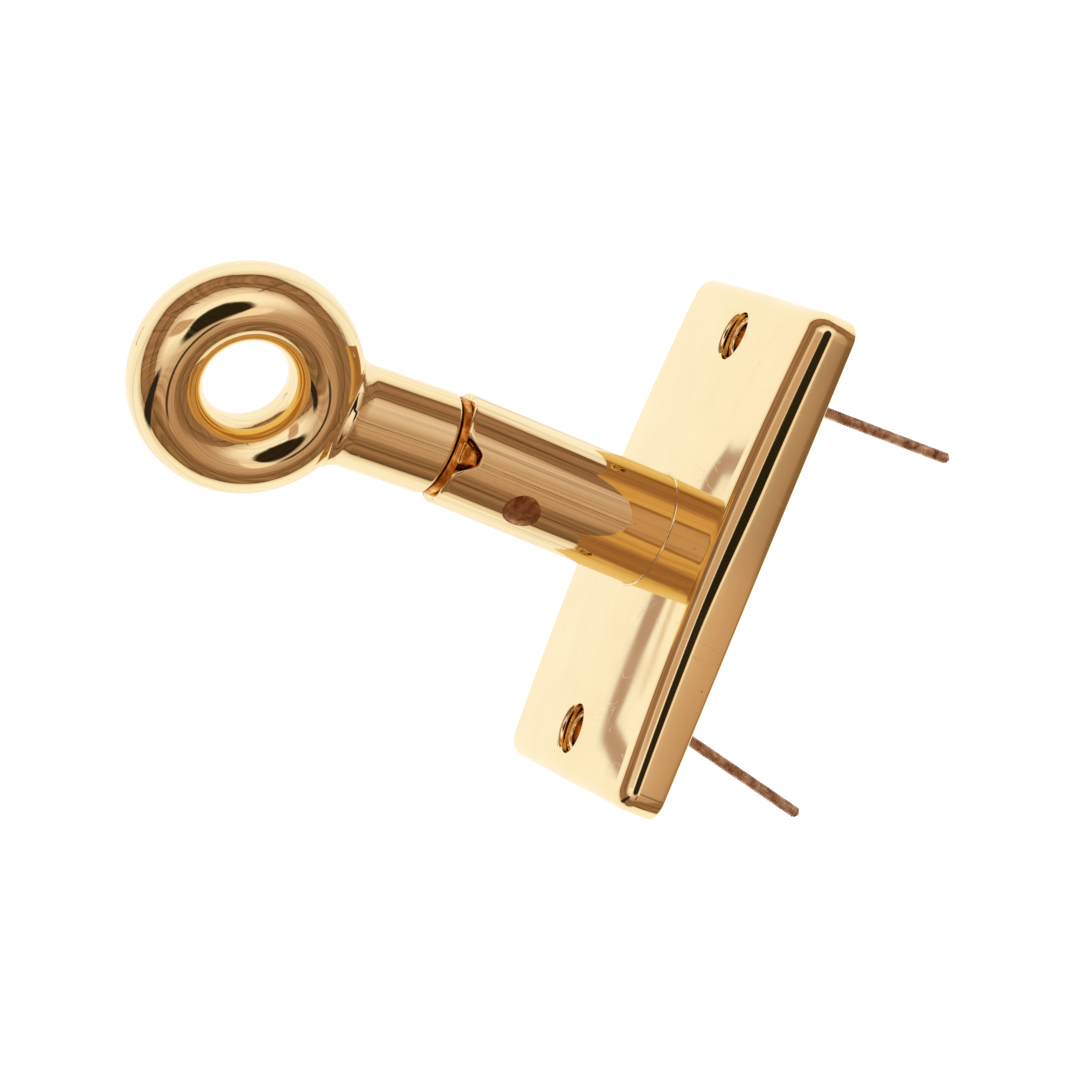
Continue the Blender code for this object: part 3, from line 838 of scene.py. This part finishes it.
@dataclass
class Barrel:
    """The tube that stands on the plate, its notched mouth, and what is fastened to it."""

    radius: float = 7.1 * MM
    wall: float = 1.6 * MM
    shoulder_depth: float = 7.15 * MM
    spigot_radius: float = 5.6 * MM
    spigot_bore: float = 3.8 * MM
    bore_floor: float = 12.15 * MM
    back: float = 0.5 * MM
    lip_round: float = 0.34 * MM
    notch_depth: float = 1.95 * MM
    notch_foot: float = 5.0 * MM
    notch_cuts: int = 14
    pin_radius: float = 2.3 * MM
    pin_slack: float = 0.03 * MM
    pin_depth: float = 25.5 * MM
    pin_turn: float = math.radians(33.6)
    tip_share: float = 0.65
    tip_length: float = 3.0 * MM
    bead_radius: float = 0.2 * MM
    mouth: float = field(init=False)

    def __post_init__(self) -> None:
        """Take the mouth's depth from the frame."""
        self.mouth = -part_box("barrel")[0].y

    def mouth_shift(self, x: float, z: float) -> float:
        """How far the mouth's edge stands in or out, at a place round it.

        The notch slopes gently on the -X side, and on the other side it is steep and has
        pushed up a lip that stands a little proud.
        """
        if z <= 0.0:
            return 0.0
        across = x / MM
        inward = smoothstep(-2.3, -0.5, across) * (1 - smoothstep(0.6, 2.6, across))
        gentle = 0.6 * smoothstep(-7.0, -3.5, across) * (1 - smoothstep(-2.7, -1.7, across))
        steep = 0.5 * smoothstep(2.2, 3.1, across) * (1 - smoothstep(5.0, 7.0, across))
        return float((gentle + steep) * MM - self.notch_depth * inward)

    def build(self, finishes: Finishes) -> None:
        """Build the barrel, its braze bead and its pin."""
        bore = self.radius - self.wall
        edge = self.lip_round
        corners = [(self.radius, self.mouth, edge), (self.radius, self.shoulder_depth, 0.1 * MM)]
        corners.append((self.spigot_radius, self.shoulder_depth, 0.0))
        corners.append((self.spigot_radius, self.back, 0.15 * MM))
        corners += [(self.spigot_bore, self.back, 0.15 * MM), (self.spigot_bore, self.bore_floor, 0.0)]
        corners += [(bore, self.bore_floor, 0.0), (bore, self.mouth, 0.2 * MM)]
        bm = turned(rounded(corners, 5), 160)
        for index in range(1, self.notch_cuts):
            place = at_depth(self.mouth - edge - self.notch_foot * index / self.notch_cuts)
            bmesh.ops.bisect_plane(bm, geom=everything(bm), plane_co=place, plane_no=(0, 1, 0))
        foot = self.mouth - self.notch_foot
        for vert in bm.verts:
            share = (-vert.co.y - foot) / self.notch_foot
            if share > 0.0:
                out = math.hypot(vert.co.x, vert.co.z)
                x = vert.co.x * self.radius / out
                shift = self.mouth_shift(x, vert.co.z)
                if shift > 0.0:
                    shift *= float(smoothstep(6.25 * MM, 6.6 * MM, out))
                vert.co.y -= shift * min(share, 1.0) ** 1.6
        barrel = to_object(bm, "barrel_tube")
        combine(barrel, [self.pin_tool()])
        dress(barrel, finishes.barrel_brass, MOUNTING, ("barrel",), sharp=50.0)
        self.bead(finishes)
        self.pin(finishes)

    def pin_matrix(self) -> Matrix:
        """The turn and place that stand a piece's own +Z along the pin."""
        turn = Euler((0, self.pin_turn, 0)).to_matrix().to_4x4()
        return Matrix.Translation(at_depth(self.pin_depth)) @ turn

    def pin_tool(self) -> Any:
        """The cutter of the pin's hole."""
        low, high = self.radius - self.wall - PAST, self.radius + PAST
        bm = cylinder(self.pin_radius + self.pin_slack, low, high, 64)
        transform(bm, self.pin_matrix())
        return bm

    def pin(self, finishes: Finishes) -> None:
        """The filed pin: a disc whose face follows the barrel, on a stepped shank."""
        bm = bmesh.new()
        bmesh.ops.create_circle(bm, cap_ends=True, segments=64, radius=self.pin_radius)
        for _ in range(7):
            face = max(bm.faces, key=lambda f: len(f.verts))
            bmesh.ops.inset_individual(bm, faces=[face], thickness=self.pin_radius / 8.5)
        bmesh.ops.poke(bm, faces=[max(bm.faces, key=lambda f: len(f.verts))])
        for vert in bm.verts:
            vert.co.z = math.sqrt(self.radius**2 - vert.co.x**2)
        floor = self.radius - self.wall + 0.3 * MM
        for vert in new_verts(bmesh.ops.extrude_face_region(bm, geom=bm.faces[:])):
            vert.co.z = floor
        tip = [f for f in bm.faces if all(abs(v.co.z - floor) < 1e-7 for v in f.verts)]
        bmesh.ops.recalc_face_normals(bm, faces=bm.faces)
        moved = new_verts(bmesh.ops.extrude_face_region(bm, geom=tip))
        bmesh.ops.delete(bm, geom=tip, context="FACES")
        for vert in moved:
            vert.co.z -= self.tip_length
            vert.co.x *= self.tip_share
            vert.co.y *= self.tip_share
        bmesh.ops.recalc_face_normals(bm, faces=bm.faces)
        transform(bm, self.pin_matrix())
        obj = to_object(bm, "filed_retaining_pin")
        dress(obj, finishes.pin_copper, MOUNTING, ("retaining_pin",), sharp=40.0)

    def bead(self, finishes: Finishes) -> None:
        """The thin bead of braze where the barrel meets the plate, which follows the crown."""
        plate = FacePlate()
        bm = bmesh.new()
        bmesh.ops.create_circle(bm, cap_ends=False, segments=12, radius=self.bead_radius)
        transform(bm, Matrix.Rotation(math.pi / 2, 4, "Y"))
        shift(bm, (0, 0, self.radius + 0.12 * MM))
        spin(bm, (0, 1, 0), 128)
        for vert in bm.verts:
            vert.co.y -= plate.surface(vert.co.x, vert.co.z) - 0.04 * MM
        dress(to_object(bm, "barrel_braze_bead"), finishes.barrel_brass, MOUNTING)


@dataclass
class BackFastening:
    """The round nut, its washer and the slotted plug in the recess behind the barrel."""

    nut_bore: float = 5.85 * MM
    washer_edge: float = 0.08 * MM
    slot_width: float = 1.6 * MM
    slot_depth: float = 0.8 * MM
    plug_slot_width: float = 1.0 * MM
    plug_slot_depth: float = 1.2 * MM

    def build(self, finishes: Finishes) -> None:
        """Build the three pieces."""
        self.nut(finishes)
        outer, front, back = round_sizes("barrel_lock_washer")
        places = ((outer, front), (outer, back), (self.nut_bore, back), (self.nut_bore, front))
        corners = [(radius, depth, self.washer_edge) for radius, depth in places]
        washer = to_object(turned(rounded(corners, 3), 96), "spring_lock_washer")
        dress(washer, finishes.steel, MOUNTING, ("barrel_lock_washer",))
        self.plug(finishes)

    def nut(self, finishes: Finishes) -> None:
        """The nut, with four spanner slots in its back."""
        outer, front, back = round_sizes("barrel_back_nut")
        corners = [(outer, front, 0.15 * MM), (outer, back, 0.35 * MM)]
        corners += [(self.nut_bore, back, 0.3 * MM), (self.nut_bore, front, 0.15 * MM)]
        nut = to_object(turned(rounded(corners, 4), 96), "spanner_nut")
        span = 2 * outer + 2 * MM
        depth = 2 * self.slot_depth
        sizes = ((span, depth, self.slot_width), (self.slot_width, depth, span))
        combine(nut, [box_mesh(size, at_depth(back), edge=0.12 * MM) for size in sizes])
        dress(nut, finishes.turned_brass, MOUNTING, ("barrel_back_nut",), sharp=40.0)

    def plug(self, finishes: Finishes) -> None:
        """The plug, with a screwdriver slot."""
        outer, front, back = round_sizes("back_plug")
        points = [(0.0, front), (outer - 0.2 * MM, front), (outer, front - 0.2 * MM)]
        points += [(outer, back + 0.3 * MM), (outer - 0.1 * MM, back + 0.1 * MM)]
        points += [(outer - 0.3 * MM, back), (0.0, back)]
        plug = to_object(turned(points, 72, closed=False), "slotted_plug")
        size = (2 * outer + 1 * MM, 2 * self.plug_slot_depth, self.plug_slot_width)
        combine(plug, [box_mesh(size, at_depth(back), edge=0.1 * MM)])
        dress(plug, finishes.turned_brass, MOUNTING, ("back_plug",), sharp=40.0)


@dataclass
class ThrustWasher:
    """The bronze washer in the mouth's gap, with a tab hammered into the barrel's notch."""

    bore: float = 3.65 * MM
    outer: float = 6.25 * MM
    front: float = 36.45 * MM
    back: float = 35.33 * MM
    tab_back: float = 33.45 * MM
    tab_width: float = 3.2 * MM
    tab_aside: float = 0.25 * MM
    tab_inner: float = 5.62 * MM
    tab_proud: float = 0.35 * MM
    lump_size: float = 0.9 * MM
    lump_height: float = 0.22 * MM

    def build(self, finishes: Finishes) -> None:
        """Build the washer and dent it."""
        edge = 0.25 * MM
        corners = [(self.outer, self.front, edge), (self.outer, self.back, edge)]
        corners += [(self.bore, self.back, 0.1 * MM), (self.bore, self.front, 0.1 * MM)]
        washer = to_object(turned(rounded(corners, 4), 128), "bronze_thrust_washer")
        high = (self.front + self.back) / 2
        top = self.outer + self.tab_proud
        size = (self.tab_width, high - self.tab_back, top - self.tab_inner)
        place = at_depth((high + self.tab_back) / 2, z=(top + self.tab_inner) / 2)
        tab = box_mesh(size, place, edge=0.42 * MM)
        bmesh.ops.subdivide_edges(tab, edges=tab.edges[:], cuts=4, use_grid_fill=True)
        for vert in tab.verts:
            back = (high + vert.co.y) / (high - self.tab_back)
            vert.co.x = vert.co.x * (1 - 0.6 * back) + self.tab_aside * back
            lump = noise.noise_vector(vert.co / self.lump_size) * self.lump_height
            vert.co += lump * min(1.0, 3 * back)
        combine(washer, [tab], "UNION")
        dress(washer, finishes.bronze, MOUNTING, ("thrust_washer",), sharp=45.0)


@dataclass
class RingHead:
    """One casting: the oval-section ring, the leaning stem, and the small fillet between them."""

    lean: float = math.radians(3.3)
    turn: float = math.radians(16.5)
    mouth: float = 35.2 * MM
    reach: float = 27.1 * MM
    ring_radius: float = 9.83 * MM
    half_width: float = 4.6 * MM
    half_thickness: float = 6.3 * MM
    stem_radius: float = 6.5 * MM
    neck_radius: float = 5.0 * MM
    neck_start: float = 14.55 * MM
    neck_end: float = 15.75 * MM
    end_round: float = 0.4 * MM
    fillet: float = 1.8 * MM
    rod_taper: float = 0.92
    voxel: float = 0.24 * MM
    settle_steps: int = 10
    settle_limit: float = 0.3 * MM
    grain_apart: float = 0.05
    grain_blend: float = 0.4 * MM
    end: float = field(init=False)

    def __post_init__(self) -> None:
        """Take the stem end's depth from the frame and work out the ring's own axes."""
        self.end = -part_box("ring_head")[1].y
        turn = Euler((0.0, self.turn, self.lean)).to_matrix()
        self.ring_axis = np.array(turn @ Vector((0, 0, 1)))
        self.stem_axis = np.array((math.sin(self.lean), -math.cos(self.lean), 0.0))
        self.base = np.array((0.0, -self.mouth, 0.0))
        self.centre = self.base + self.stem_axis * self.reach

    def about_ring(self, points: np.ndarray) -> tuple[np.ndarray, np.ndarray]:
        """How far points are out from the ring's axis, and how high up it."""
        offset = points - self.centre
        height = offset @ self.ring_axis
        return np.linalg.norm(offset - height[:, None] * self.ring_axis, axis=1), height

    def about_stem(self, points: np.ndarray) -> tuple[np.ndarray, np.ndarray]:
        """The vectors from the stem's axis to points, and how far along it they are."""
        offset = points - self.base
        along = offset @ self.stem_axis
        return offset - along[:, None] * self.stem_axis, along

    def ring_field(self, points: np.ndarray) -> np.ndarray:
        """About how far points lie outside the ring."""
        out, height = self.about_ring(points)
        out = out - self.ring_radius
        near = np.sqrt((out / self.half_width) ** 2 + (height / self.half_thickness) ** 2)
        slope = np.sqrt((out / self.half_width**2) ** 2 + (height / self.half_thickness**2) ** 2)
        return near * (near - 1.0) / np.maximum(slope, 1.0)

    def stem_field(self, points: np.ndarray) -> np.ndarray:
        """About how far points lie outside the stem, whose open end has a rounded edge."""
        across, along = self.about_stem(points)
        thin = smoothstep(self.neck_start, self.neck_end, along)
        side = np.linalg.norm(across, axis=1) - self.stem_radius
        side = side - (self.neck_radius - self.stem_radius) * thin
        cap = np.maximum(points[:, 1] + self.end, along - self.neck_end)
        both = np.stack((side, cap)) + self.end_round
        inner = np.minimum(both.max(axis=0), 0.0)
        return inner + np.linalg.norm(np.maximum(both, 0.0), axis=0) - self.end_round

    def field(self, points: np.ndarray) -> np.ndarray:
        """The whole casting: ring and stem, joined with a fillet."""
        ring, stem = self.ring_field(points), self.stem_field(points)
        mix = np.maximum(self.fillet - np.abs(ring - stem), 0.0) / self.fillet
        return np.minimum(ring, stem) - mix * mix * self.fillet / 4

    def gradient(self, points: np.ndarray) -> np.ndarray:
        """The field's slope at points."""
        step = 0.01 * MM
        sides = [self.field(points + o) - self.field(points - o) for o in np.eye(3) * step]
        return np.stack(sides, axis=1) / (2 * step)

    def rough_shape(self) -> Any:
        """A turned ring and a rod, remeshed as one closed skin.

        Returns:
            The object.
        """
        bm = bmesh.new()
        bmesh.ops.create_circle(bm, cap_ends=False, segments=32, radius=self.half_width)
        transform(bm, Matrix.Rotation(math.pi / 2, 4, "X"))
        stretch = self.half_thickness / self.half_width
        bmesh.ops.scale(bm, vec=(1, 1, stretch), verts=bm.verts)
        shift(bm, (self.ring_radius, 0, 0))
        spin(bm, (0, 0, 1), 96)
        turn = Euler((0.0, self.turn, self.lean)).to_matrix().to_4x4()
        transform(bm, Matrix.Translation(Vector(self.centre)) @ turn)
        ring = to_object(bm, "cast_ring_head")
        span = self.neck_end - (self.end - self.mouth)
        rod = cylinder(self.stem_radius, -span / 2, span / 2, 96, self.rod_taper * self.stem_radius)
        transform(rod, Matrix.Rotation(self.lean, 4, "Z") @ Matrix.Rotation(math.pi / 2, 4, "X"))
        shift(rod, Vector(self.base + self.stem_axis * (self.end - self.mouth + span / 2)))
        combine(ring, [rod], "UNION")
        skin = ring.modifiers.new("skin", "REMESH")
        skin.mode = "VOXEL"
        skin.voxel_size = self.voxel
        apply_modifiers(ring)
        return ring

    def build(self, finishes: Finishes) -> None:
        """Build the casting: lay the skin on the exact shape, and shade it by that shape."""
        head = self.rough_shape()
        mesh = head.data
        points = np.zeros(len(mesh.vertices) * 3)
        mesh.vertices.foreach_get("co", points)
        points = points.reshape(-1, 3)
        for _ in range(self.settle_steps):
            slope = self.gradient(points)
            size = np.maximum((slope * slope).sum(axis=1), 0.05)
            step = self.field(points)[:, None] * slope / size[:, None]
            points = points - np.clip(step, -self.settle_limit, self.settle_limit)
        mesh.vertices.foreach_set("co", points.ravel())
        mesh.update()
        self.store_grain(mesh, points)
        dress(head, finishes.ring_brass, SWIVEL, ("ring_head",), sharp=0.0)
        slope = self.gradient(points)
        normals = slope / np.linalg.norm(slope, axis=1)[:, None]
        mesh.normals_split_custom_set_from_vertices([tuple(n) for n in normals])

    def store_grain(self, mesh: Any, points: np.ndarray) -> None:
        """Store the buffing lines' coordinates: round the ring, and along the stem.

        Args:
            mesh: The casting's mesh.
            points: Its vertices.
        """
        out, height = self.about_ring(points)
        across, along = self.about_stem(points)
        round_ring = np.stack((out, height, np.zeros_like(out)), axis=1)
        along_stem = across + along[:, None] * self.stem_axis * ALONG_LINES + self.grain_apart
        outside = self.stem_field(points) - self.ring_field(points)
        ringness = smoothstep(-self.grain_blend, self.grain_blend, outside)[:, None]
        grain = round_ring * ringness + along_stem * (1 - ringness)
        layer = mesh.attributes.new(GRAIN, "FLOAT_VECTOR", "POINT")
        layer.data.foreach_set("vector", grain.astype(np.float32).ravel())


class CarriedOver:
    """The hidden running parts, which keep their CAD meshes and get their finishes here."""

    BRONZE_NODES = ("front_bush", "rear_bush", "friction_button")
    STEEL_NODES = ("friction_spring", "swivel_spindle")

    def build(self, finishes: Finishes) -> None:
        """Give each node its finish."""
        pairs = ((self.BRONZE_NODES, finishes.bronze), (self.STEEL_NODES, finishes.steel))
        for names, material in pairs:
            for name in names:
                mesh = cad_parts[name].data
                mesh.materials.clear()
                mesh.materials.append(material)
                LOG.info("%s: CAD mesh, %s", name, material.name)


# ------------------------------------------------------------------------------ studio and camera


@dataclass(frozen=True)
class Camera:
    """A long lens that looks down at the handle from in front."""

    lens: float = 200.9
    sensor: float = 36.0
    azimuth: float = math.radians(-1.06)
    elevation: float = math.radians(69.55)
    roll: float = math.radians(113.42)
    distance: float = 0.740
    shift_right: float = -19.48 * MM
    shift_up: float = 1.30 * MM

    def back(self) -> Vector:
        """The direction from the handle to the camera."""
        flat = math.cos(self.elevation)
        return Vector((
            math.sin(self.azimuth) * flat, -math.cos(self.azimuth) * flat, math.sin(self.elevation)
        ))

    def axes(self) -> tuple[Vector, Vector]:
        """The directions that are right and up in the picture."""
        back = self.back()
        level = Vector((0, 0, 1)).cross(back).normalized()
        upright = back.cross(level)
        right = level * math.cos(self.roll) + upright * math.sin(self.roll)
        up = upright * math.cos(self.roll) - level * math.sin(self.roll)
        return right, up

    def build(self) -> None:
        """Make the camera and set it as the scene's."""
        data = bpy.data.cameras.new("product_camera")
        data.lens = self.lens
        data.sensor_width = self.sensor
        data.clip_start = 0.02
        data.clip_end = 20.0
        right, up = self.axes()
        back = self.back()
        obj = bpy.data.objects.new("product_camera", data)
        place = back * self.distance + right * self.shift_right + up * self.shift_up
        turn = Matrix((right, up, back)).transposed().to_4x4()
        obj.matrix_world = Matrix.Translation(place) @ turn
        bpy.context.scene.collection.objects.link(obj)
        bpy.context.scene.camera = obj


@dataclass(frozen=True)
class Studio:
    """A white table under a warm room, with a white reflector round a dark lens opening.

    The dome's rings are angles in degrees from the opening's middle, and its colours are what
    polished brass mirrors. Its bars are things in the room, and a painted shadow: the barrel's
    shadow on the table, where the plate's face mirrors it.
    """

    floor_drop: float = 0.16
    floor_size: float = 6.0
    rings_near: tuple[tuple[float, str], ...] = (
        (0.0, "#2C2415"), (21.5, "#2C2415"), (23.5, "#A08A74"), (25.5, "#FFFFFF"),
        (44.0, "#FFFAF6"), (54.0, "#E9D6CA"), (60.5, "#D4B8A2"), (61.8, "#6A4A32"),
        (63.5, "#A07A5C"), (72.0, "#96704F"), (73.2, "#5E4028"), (74.6, "#A67E60"),
        (88.0, "#A67E60"), (93.5, "#8C6648"), (94.8, "#5A3C28"), (96.5, "#D8C0AA"),
        (99.0, "#F6EADE"), (110.0, "#FFFFFF"),
    )
    rings_far: tuple[tuple[float, str], ...] = (
        (0.0, "#2C2415"), (21.5, "#2C2415"), (23.5, "#7E6654"), (28.0, "#DCC6B4"),
        (44.0, "#CFAE94"), (60.0, "#C39C7E"), (64.0, "#9E7A5C"), (76.0, "#8E6848"),
        (77.2, "#54381F"), (78.8, "#9C785A"), (98.5, "#94704F"), (101.2, "#4A3020"),
        (103.0, "#A88868"), (107.0, "#F0E4D2"), (118.0, "#FFFFFF"),
    )
    rings_deep: tuple[tuple[float, str], ...] = (
        (0.0, "#CBAA92"), (22.0, "#CBAA92"), (27.0, "#94683F"), (30.0, "#E0BC86"), (50.0, "#D9B07A"),
        (62.0, "#A87E5C"), (94.0, "#A87E58"), (102.0, "#E3C687"), (118.0, "#F4E2B4"),
    )
    opening: tuple[float, float] = (-6.0, -4.0)
    wobble: float = math.radians(14.0)
    wobble_size: float = 1 / 2.2
    streak_size: float = 0.055
    mirrored_light: float = 1.03
    plain_light: float = 1.08
    lamp_size: float = 1.2
    lamp_watts: float = 6.0
    lamp_place: tuple[float, float, float] = (0.5, -0.6, 1.2)
    room_bars_and_painted_shadows: tuple[tuple[float, float, float, float, float, float, str], ...] = (
        (-2.0, -43.0, -2.0, -60.0, 8.0, 14.0, "#CBA88C"),
        (0.0, 24.0, 30.0, 24.0, 6.0, 16.0, "#FBEADC"),
        (6.5, 46.0, 6.5, 60.0, 0.7, 14.0, "#7A563C"),
        (62.0, -45.0, 91.0, -61.0, 6.5, 30.0, "#2E2620"),
        (33.0, 18.0, 33.0, 50.0, 17.0, 4.0, "#4A3626"),
        (-78.0, 2.0, -100.0, 8.0, 1.2, 20.0, "#7A5A42"),
        (-30.0, -68.0, -35.0, -52.0, 1.0, 16.0, "#6A4A34"),
        # painted shadow: these five bars are the barrel's shadow on the white table, as the plate's
        # face mirrors it
        (4.0, -132.7, 14.0, -132.5, 1.0, 2.9, "#BA9C8A"),
        (13.1, -130.4, 14.0, -127.0, 0.34, 2.3, "#BA9C8A"),
        (-7.3, -129.8, -7.5, -127.0, 0.3, 1.9, "#BA9C8A"),
        (-5.8, -132.0, -4.0, -132.9, 0.6, 0.9, "#BA9C8A"),
        (5.0, -130.4, 9.0, -130.0, 0.3, 1.4, "#E6D4C2"),
    )

    def world(self, camera: Camera) -> None:
        """Build the dome: mirrors see the room and a painted shadow, all else a plain white light."""
        world = bpy.data.worlds.new("studio_dome")
        world.use_nodes = True
        bpy.context.scene.world = world
        world.node_tree.nodes.clear()
        graph = Graph(world.node_tree)
        look = graph.add("TexCoord").outputs["Generated"]
        back = camera.back()
        sideways = (Vector((1, 0, 0)) - back * back.x).normalized()
        upward = back.cross(sideways)

        def toward(right: float, up: float) -> Vector:
            """The direction some degrees to the right of and above the camera."""
            angle = math.radians(math.hypot(right, up))
            lateral = (sideways * right + upward * up).normalized()
            return back * math.cos(angle) + lateral * math.sin(angle)

        wobble = graph.math("SUBTRACT", graph.noise(look, self.wobble_size, 3.0), 0.5)
        angle = graph.math("ARCCOSINE", graph.dot(look, toward(*self.opening)))
        angle = graph.math("MULTIPLY_ADD", wobble, self.wobble, angle)
        share = graph.math("DIVIDE", angle, math.pi)
        every = (self.rings_near, self.rings_far, self.rings_deep)
        near, far, deep = [graph.ramp(share, rings, HALF_TURN) for rings in every]
        side = (sideways + upward * 0.9).normalized()
        farness = graph.remap(graph.dot(look, side), -0.25, 0.35)
        colour = self.streaks(graph, look, sideways, graph.mix(farness, near, far))
        # lay the room's bars and the painted shadow on the dome
        for right, up, to_right, to_up, half_width, half_length, tone in self.room_bars_and_painted_shadows:
            ends = toward(right, up), toward(to_right, to_up)
            colour = self.bar(graph, look, colour, ends, (half_length, half_width), tone)
        rays = graph.add("LightPath")
        again = graph.math("GREATER_THAN", rays.outputs["Glossy Depth"], 1.5)
        colour = graph.mix(again, colour, deep)
        mirrored = graph.add("Background", {"Color": colour, "Strength": self.mirrored_light})
        plain = graph.add("Background", {"Color": "#FFFFFF", "Strength": self.plain_light})
        lights = {0: rays.outputs["Is Glossy Ray"], 1: plain.outputs[0], 2: mirrored.outputs[0]}
        graph.add("OutputWorld", {"Surface": graph.add("MixShader", lights).outputs[0]})

    def streaks(self, graph: Graph, look: Any, sideways: Vector, colour: Any) -> Any:
        """Break the room up with upright light and dark streaks and a few dark lines.

        Args:
            graph: The world's nodes.
            look: The direction looked in.
            sideways: The direction the streaks follow one another in.
            colour: The dome's colour so far.

        Returns:
            The dome's colour with the streaks on it, which leave its bright parts alone.
        """
        across = graph.dot(look, sideways)
        inputs = {"W": across, "Scale": per_size(self.streak_size), "Detail": 4.0, "Roughness": 0.6}
        bands = graph.add("TexNoise", inputs, noise_dimensions="1D").outputs["Fac"]
        shade = graph.remap(bands, 0.3, 0.7, 0.7, 1.2)
        line = graph.remap(graph.band(bands, 0.42), 0.0, 0.014, 0.5, 1.0)
        both = graph.math("MULTIPLY", shade, line)
        scaled = graph.add("VectorMath", {0: colour, "Scale": both}, operation="SCALE")
        grey = graph.add("RGBToBW", {"Color": colour}).outputs[0]
        return graph.mix(graph.remap(grey, 0.45, 0.75), scaled.outputs["Vector"], colour)

    @staticmethod
    def bar(
        graph: Graph, look: Any, colour: Any, ends: tuple[Vector, Vector],
        halves: tuple[float, float], tone: str,
    ) -> Any:
        """Lay a soft-edged bar on the dome.

        Args:
            graph: The world's nodes.
            look: The direction looked in.
            colour: The dome's colour so far.
            ends: The bar's middle, and a direction that the bar points towards.
            halves: Half its length and half its width, in degrees.
            tone: Its colour.

        Returns:
            The dome's colour with the bar on it.
        """
        place, other = ends
        along = (other - place * other.dot(place)).normalized()
        fourths = []
        for direction, half in zip((along, place.cross(along)), halves):
            part = graph.dot(look, direction / math.sin(math.radians(half)))
            square = graph.math("MULTIPLY", part, part)
            fourths.append(graph.math("MULTIPLY", square, square))
        inside = graph.remap(graph.math("ADD", *fourths), 0.5, 1.5, 1.0, 0.0)
        front = graph.math("GREATER_THAN", graph.dot(look, place), 0.0)
        return graph.mix(graph.math("MULTIPLY", inside, front), colour, tone)

    def build(self, camera: Camera) -> None:
        """Build the dome, the floor and a soft lamp overhead."""
        self.world(camera)
        self.floor()
        self.softbox()
        settings = bpy.context.scene.view_settings
        settings.view_transform = "Standard"
        settings.look = "None"

    def floor(self) -> None:
        """Build the white table, which the brass doesn't mirror."""
        bm = bmesh.new()
        bmesh.ops.create_grid(bm, x_segments=8, y_segments=8, size=self.floor_size / 2)
        floor = to_object(bm, "studio_floor")
        floor.location.z = CAD_BOX[0].z - self.floor_drop
        material = bpy.data.materials.new("matt white card")
        material.use_nodes = True
        graph = Graph(material.node_tree)
        shader = material.node_tree.nodes["Principled BSDF"]
        tooth = graph.noise(graph.place(), 2 * MM, 2.0)
        colour = graph.ramp(tooth, ((0.0, "#FAFAFA"), (1.0, "#FFFFFF")))
        graph.join(colour, shader.inputs["Base Color"])
        shader.inputs["Roughness"].default_value = 0.9
        shader.inputs["Specular IOR Level"].default_value = 0.0
        floor.data.materials.append(material)
        floor.visible_glossy = False

    def softbox(self) -> None:
        """Hang the lamp, which neither the camera nor the brass sees."""
        lamp = bpy.data.lights.new("overhead_softbox", "AREA")
        lamp.shape = "DISK"
        lamp.size = self.lamp_size
        lamp.energy = self.lamp_watts
        softbox = bpy.data.objects.new("overhead_softbox", lamp)
        softbox.location = self.lamp_place
        softbox.rotation_euler = (-softbox.location).to_track_quat("-Z", "Y").to_euler()
        softbox.visible_camera = False
        softbox.visible_glossy = False
        bpy.context.scene.collection.objects.link(softbox)


def main() -> None:
    """Build the studio, the camera and every piece."""
    logging.basicConfig(level=logging.INFO, format="%(name)s: %(message)s")
    camera = Camera()
    camera.build()
    Studio().build(camera)
    finishes = Finishes()
    pieces = (FacePlate(), Barrel(), BackFastening(), ThrustWasher(), RingHead(), *FIXING_STUDS)
    for piece in (*pieces, CarriedOver()):
        piece.build(finishes)


if __name__ == "__main__":
    main()
